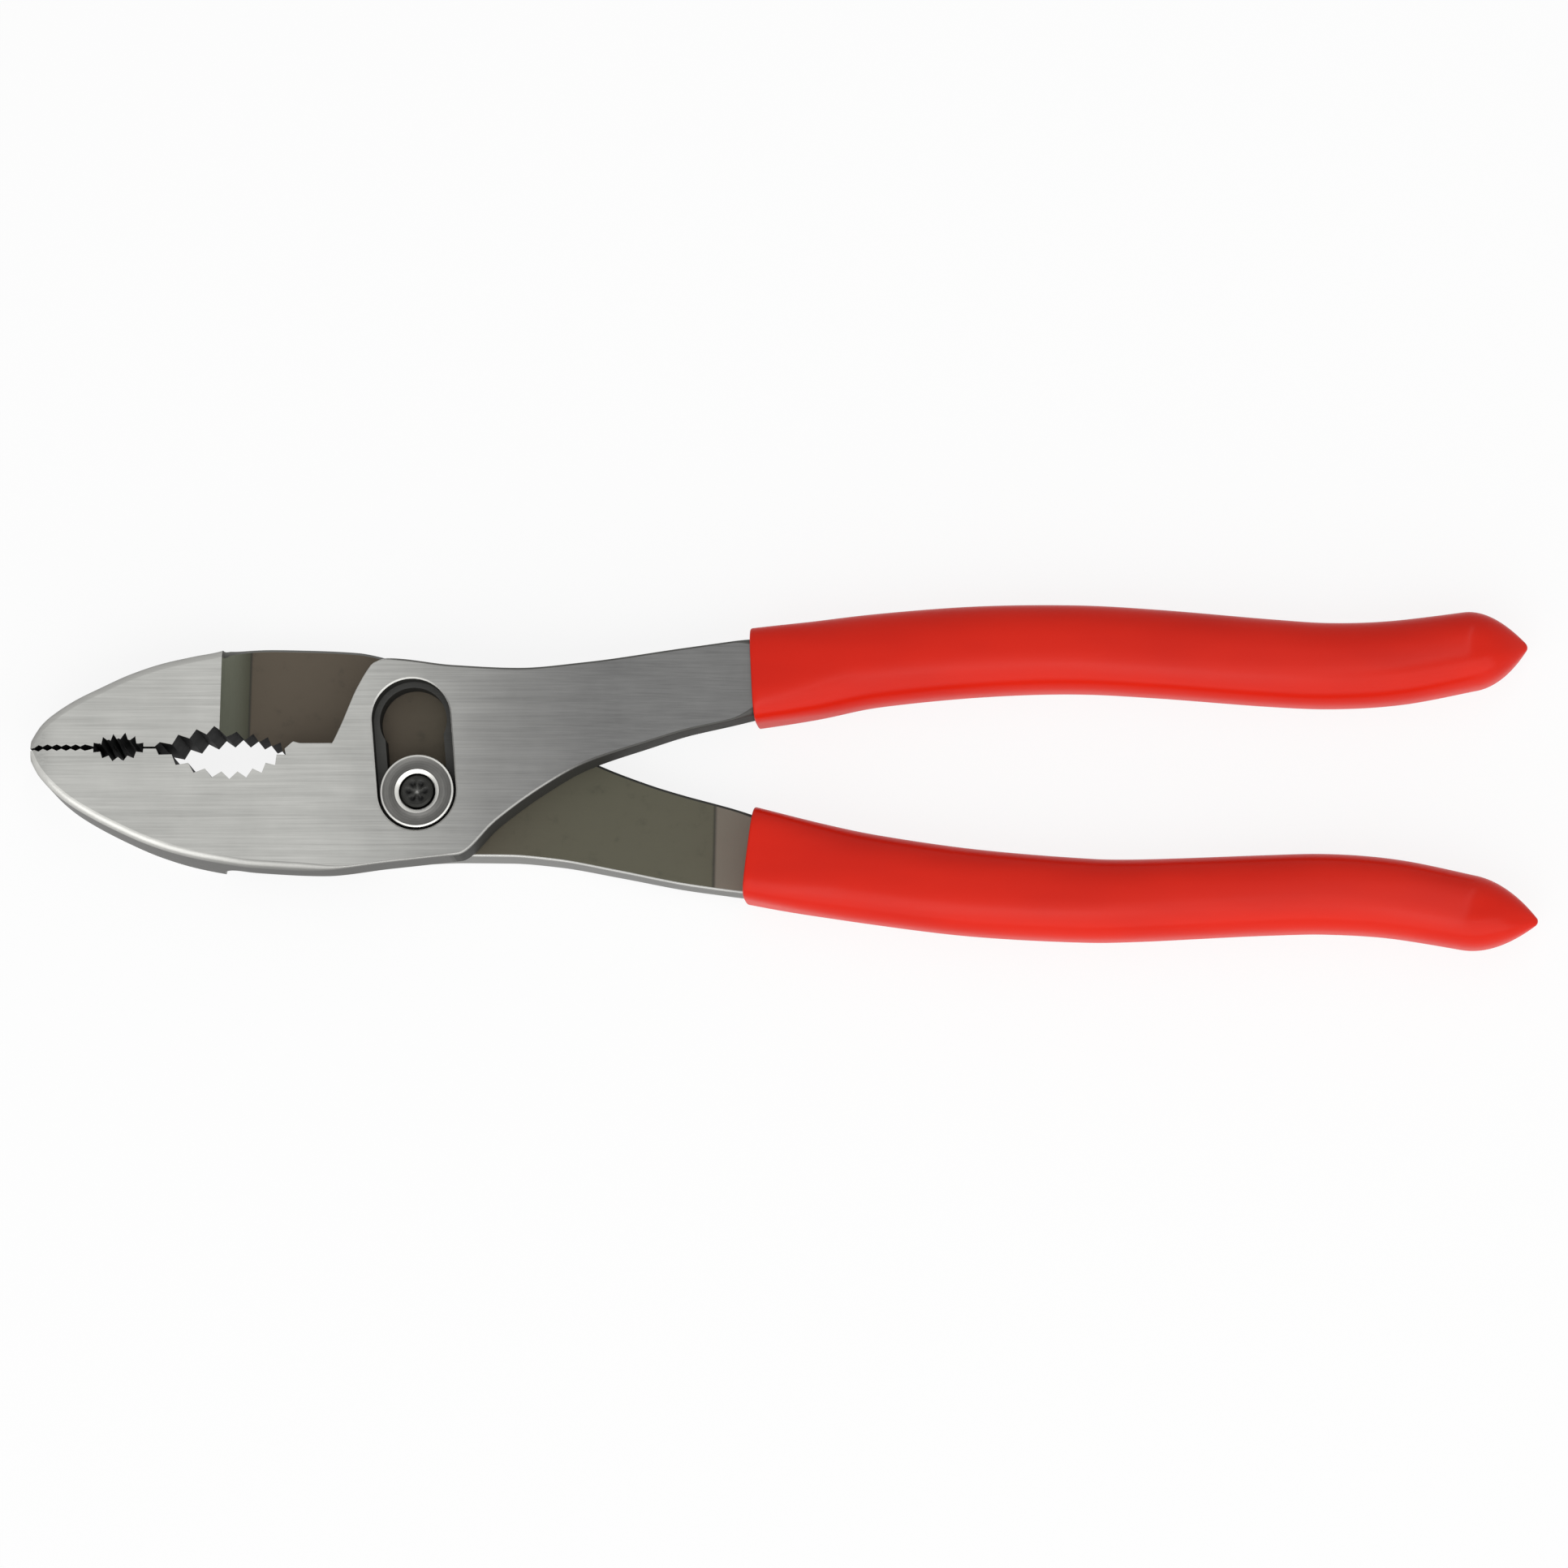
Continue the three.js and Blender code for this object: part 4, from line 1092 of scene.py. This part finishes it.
def ground_steel(finish):
    """Belt-ground forged steel: fine grain along the tool, with rounds bright from polish and painted
    highlight, dull oxide on laps and ramps with painted light and shade on the ramps, a painted shade line at
    the foot of each ramp, forging scale with painted shade between the arms, and dark bites and slot with
    painted shade.
    The weights leave the mean of the tone at a half."""
    material, tree = new_material("ground_steel")
    place = make(tree, "TexCoord")["Object"]
    along = make(tree, "SeparateXYZ", None, {0: place})["X"] - float(PIVOT[0])
    grain = noise(tree, stretched(tree, place, BELT_GRAIN), 1.0, 4.0, 0.62)
    streak = noise(tree, stretched(tree, place, BELT_STREAK), 1.0, 2.0)
    cloud = noise(tree, place, STEEL_CLOUD)
    patch = noise(tree, place, OXIDE_PATCH, 4.0, 0.6)
    lap, ramp, wall, edge, gap, bite, slot = (mask(tree, name) for name in FINISHES)
    tone = grain * 1.1 + streak * 0.45 + cloud * 0.55 - 0.55
    # Painted shade: a dark line in the hollow at the foot of each ramp
    jaw_foot_shade = band(tree, along, JAW_STEP_X + JAW_RAMP, JAW_FOOT_SHADE)
    arm_foot_shade = band(tree, along, ARM_RAMP_X, ARM_FOOT_SHADE)
    steel = layered(tree, belt_steel(tree, finish, tone, along), (
        (lap, lap_oxide(tree, finish, patch, along)),
        (ramp, ramp_oxide_and_shade(tree, finish, along)),
        ((jaw_foot_shade + arm_foot_shade) * (lap + ramp) * 0.7, rgb(finish.gap_scale_and_shade)),
        (wall, rgb(finish.wall_steel)),
        # Rounds and rims: polish with painted highlight
        (edge * (0.6 + 0.4 * streak), rgb(finish.edge_polish_and_highlight)),
        # Forging scale and painted shade between the arms and along the upper edges
        (gap * 0.92, rgb(finish.gap_scale_and_shade)),
        # Teeth: dark oxide with painted shade
        (bite, rgb(finish.bite_dark_and_shade)),
        # Slot: dark finish with painted shade
        (slot, rgb(finish.slot_dark_and_shade)),
    ))
    dull = lap + ramp + gap * 0.7 + bite + slot
    finish_surface(tree, {
        "Base Color": steel,
        "Metallic": 1 - dull * 0.8,
        "Roughness": blend(tree, dull, 0.3 + grain * 0.16, 0.5 + patch * 0.2),
        "Normal": bumped(tree, grain + streak * 0.6, 0.25, GRAIN_DEPTH),
        "Specular IOR Level": 0.08,
        "Specular Tint": GRAZING_TINT,
    })
    return material


def turned_steel(finish, name, light):
    """Turned steel of the given light colour: rings round the bolt's axis and a little stain, with broken
    edges bright from polish and painted highlight, and dents darkened as painted shade."""
    material, tree = new_material(name)
    place = make(tree, "TexCoord")["Object"]
    from_axis = {"Vector": place, "Location": tuple(-PIVOT)}
    centred = make(tree, "Mapping", {"vector_type": "POINT"}, from_axis)["Vector"]
    rings = make(
        tree, "TexWave", {"wave_type": "RINGS", "rings_direction": "Z"},
        {"Vector": centred, "Scale": TURNED_RINGS, "Distortion": 1.5, "Detail": 2.0, "Detail Scale": 2.0},
    )["Fac"]
    stain = noise(tree, place, TURNED_STAIN, 4.0, 0.6)
    tone = rings * 0.35 + stain * 0.9 - 0.1
    steel = layered(tree, mix(tree, tone, rgb(0.7 * Vector(light)), rgb(light)), (
        # Broken edges: polish with painted highlight; dents: painted shade
        (mask(tree, "edge"), rgb(finish.edge_polish_and_highlight)),
        (mask(tree, "bite"), rgb(finish.bite_dark_and_shade)),
    ))
    finish_surface(tree, {
        "Base Color": steel,
        "Metallic": 1.0,
        "Roughness": 0.3 + stain * 0.2,
        "Normal": bumped(tree, rings + stain, 0.2, RING_DEPTH),
    })
    return material


def red_vinyl(finish):
    """Dipped vinyl: an even glossy red, a shade deeper in places, with a faint wave in the skin."""
    material, tree = new_material("red_vinyl")
    place = make(tree, "TexCoord")["Object"]
    wave = noise(tree, stretched(tree, place, VINYL_WAVE), 1.0, 2.0)
    skin = noise(tree, place, VINYL_SKIN)
    finish_surface(tree, {
        "Base Color": mix(tree, stepped(tree, wave, 0.35, 0.7), rgb(finish.vinyl), rgb(finish.vinyl_deep)),
        "Roughness": 0.36 + skin * 0.08,
        "Normal": bumped(tree, wave * 2.0 + skin * 0.15, 0.12, WAVE_DEPTH),
        "Specular IOR Level": 0.04,
        "Coat Weight": 0.22,
        "Coat Roughness": 0.22,
    })
    return material


def studio_floor(finish):
    """Pale matt floor: near white to the camera and in reflections, with the object's soft shadow kept."""
    material, tree = new_material("studio_floor")
    matt = make(tree, "BsdfDiffuse", None, {"Color": rgb(finish.floor)})["BSDF"]
    glow = make(tree, "Emission", None, {"Color": WHITE, "Strength": 1.0})["Emission"]
    shown = make(tree, "MixShader", None, {0: seen_straight(tree) * FLOOR_GLOW, 1: matt, 2: glow})[0]
    make(tree, "OutputMaterial", None, {"Surface": shown})
    return material


# Studio

def lay_floor(scene):
    """A flat pale square just under the tool."""
    square = ((-1, -1), (1, -1), (1, 1), (-1, 1))
    corners = [(x * FLOOR_REACH, y * FLOOR_REACH, -FLOOR_DROP) for x, y in square]
    mesh = bpy.data.meshes.new("floor")
    mesh.from_pydata(corners, [], [(0, 1, 2, 3)])
    mesh.materials.append(studio_floor(scene.pliers_finish))
    floor = bpy.data.objects.new("floor", mesh)
    scene.collection.objects.link(floor)


def set_world(scene):
    """White to the camera and in reflections, dimmer as light."""
    world = bpy.data.worlds.new("studio")
    world.use_nodes = True
    tree = world.node_tree
    tree.nodes.clear()
    ambient = make(tree, "Background", None, {"Color": WHITE, "Strength": AMBIENT})["Background"]
    white = make(tree, "Background", None, {"Color": WHITE, "Strength": 1.0})["Background"]
    shown = make(tree, "MixShader", None, {0: seen_straight(tree), 1: ambient, 2: white})[0]
    make(tree, "OutputWorld", None, {"Surface": shown})
    scene.world = world


def hang_light(scene, name, place, size, power):
    """A soft rectangular lamp aimed at the tool."""
    lamp = bpy.data.lights.new(name, "AREA")
    lamp.shape = "RECTANGLE"
    lamp.size, lamp.size_y = size
    lamp.energy = power
    light = bpy.data.objects.new(name, lamp)
    light.location = place
    light.rotation_euler = (-light.location).to_track_quat("-Z", "Y").to_euler()
    light.visible_camera = False
    scene.collection.objects.link(light)


def aim_camera(scene):
    """A long lens from a little right of and below the tool, turned so that the tool stays level."""
    towards = Vector(CAMERA_WAY).normalized()
    right = (Vector((1, 0, 0)) - towards * towards.x).normalized()
    up = towards.cross(right)
    target = Vector(PIVOT) + Vector(CAMERA_TARGET)
    lens = bpy.data.cameras.new("camera")
    lens.lens = lens.sensor_width * CAMERA_DISTANCE / (PHOTO_PIXELS * PIXEL)
    camera = bpy.data.objects.new("camera", lens)
    turn = Matrix((right, up, towards)).transposed().to_4x4()
    camera.matrix_world = Matrix.Translation(target + towards * CAMERA_DISTANCE) @ turn
    scene.collection.objects.link(camera)
    scene.camera = camera


# Operators

class PLIERS_OT_forged_halves(bpy.types.Operator):
    """Build the front half with its slip slot and the rear half with its bolt hole"""

    bl_idname = "pliers.forged_halves"
    bl_label = "Forged halves"

    def execute(self, context):
        sizes = context.scene.pliers_sizes
        steel = ground_steel(context.scene.pliers_finish)
        front_edges, rear_edges = half_edges(sizes)
        lower_bite = bite_cutter("lower_bite", PIPE_DEPTH_LOWER, 0, -1, sizes)
        upper_bite = bite_cutter("upper_bite", PIPE_DEPTH_UPPER, POCKET_TAPER, 1, sizes)
        for name, edges, face_side, cutters, body in (
            ("front_half", front_edges, 1, [lower_bite, *slot_cutters(sizes)], "front"),
            ("rear_half", rear_edges, -1, [upper_bite, *head_cutters(sizes)], "rear"),
        ):
            grid = bar_grid(*edges, face_side, sizes)
            half = tube(name + "_steel", grid, **half_masks(grid, face_side))
            carve(half, *cutters)
            seat(shade(half, FORGED_CREASE), body, name, steel)
        return {"FINISHED"}


class PLIERS_OT_pivot(bpy.types.Operator):
    """Build the flatted bolt with its staked end, and the round nut that lies on the slot's ledge"""

    bl_idname = "pliers.pivot"
    bl_label = "Bolt and nut"

    def execute(self, context):
        sizes = context.scene.pliers_sizes
        finish = context.scene.pliers_finish
        bolt_finish = turned_steel(finish, "bolt_steel", finish.bolt_end)
        nut_finish = turned_steel(finish, "nut_steel", finish.nut_face)
        seat(shade(staked_bolt(sizes), BOLT_CREASE), "pivot", "pivot_bolt", bolt_finish)
        seat(shade(dished_nut(sizes), NUT_CREASE), "pivot", "pivot_nut", nut_finish)
        return {"FINISHED"}


class PLIERS_OT_dipped_sleeves(bpy.types.Operator):
    """Build the two red sleeves with their mouths and drip tips"""

    bl_idname = "pliers.dipped_sleeves"
    bl_label = "Dipped sleeves"

    def execute(self, context):
        sizes = context.scene.pliers_sizes
        vinyl = red_vinyl(context.scene.pliers_finish)
        front_edges, rear_edges = half_edges(sizes)
        for name, handle, edges, face_side, body in (
            ("upper_grip", UPPER_HANDLE, front_edges, 1, "front"),
            ("lower_grip", LOWER_HANDLE, rear_edges, -1, "rear"),
        ):
            sleeve = tube(name + "_vinyl", sleeve_grid(handle, sizes))
            carve(sleeve, tube(name + "_hollow", hollow_grid(edges, face_side, sizes)))
            seat(shade(sleeve, SLEEVE_CREASE), body, name, vinyl)
        return {"FINISHED"}


class PLIERS_OT_studio(bpy.types.Operator):
    """Lay the floor and set the light and the camera"""

    bl_idname = "pliers.studio"
    bl_label = "Studio"

    def execute(self, context):
        scene = context.scene
        lay_floor(scene)
        set_world(scene)
        hang_light(scene, "soft_box", **SOFT_BOX)
        hang_light(scene, "strip_box", **STRIP_BOX)
        aim_camera(scene)
        scene.view_settings.view_transform = "Standard"
        return {"FINISHED"}


class PLIERS_PT_builder(bpy.types.Panel):
    """Builders of the pliers' pieces and their studio"""

    bl_label = "Pliers"
    bl_idname = "PLIERS_PT_builder"
    bl_space_type = "VIEW_3D"
    bl_region_type = "UI"
    bl_category = "Pliers"

    def draw(self, context):
        for builder in BUILDERS:
            self.layout.operator(builder.bl_idname)
        for group in (context.scene.pliers_sizes, context.scene.pliers_finish):
            for name in group.__annotations__:
                self.layout.prop(group, name)


BUILDERS = (
    PLIERS_OT_forged_halves,
    PLIERS_OT_pivot,
    PLIERS_OT_dipped_sleeves,
    PLIERS_OT_studio,
)
CLASSES = (PliersSizes, PliersFinish, *BUILDERS, PLIERS_PT_builder)


def register():
    for each in CLASSES:
        bpy.utils.register_class(each)
    bpy.types.Scene.pliers_sizes = PointerProperty(type=PliersSizes)
    bpy.types.Scene.pliers_finish = PointerProperty(type=PliersFinish)


def unregister():
    del bpy.types.Scene.pliers_finish
    del bpy.types.Scene.pliers_sizes
    for each in reversed(CLASSES):
        bpy.utils.unregister_class(each)


def main():
    """Registers the add-on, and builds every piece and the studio."""
    register()
    bpy.ops.pliers.forged_halves()
    bpy.ops.pliers.pivot()
    bpy.ops.pliers.dipped_sleeves()
    bpy.ops.pliers.studio()


if __name__ == "__main__":
    main()
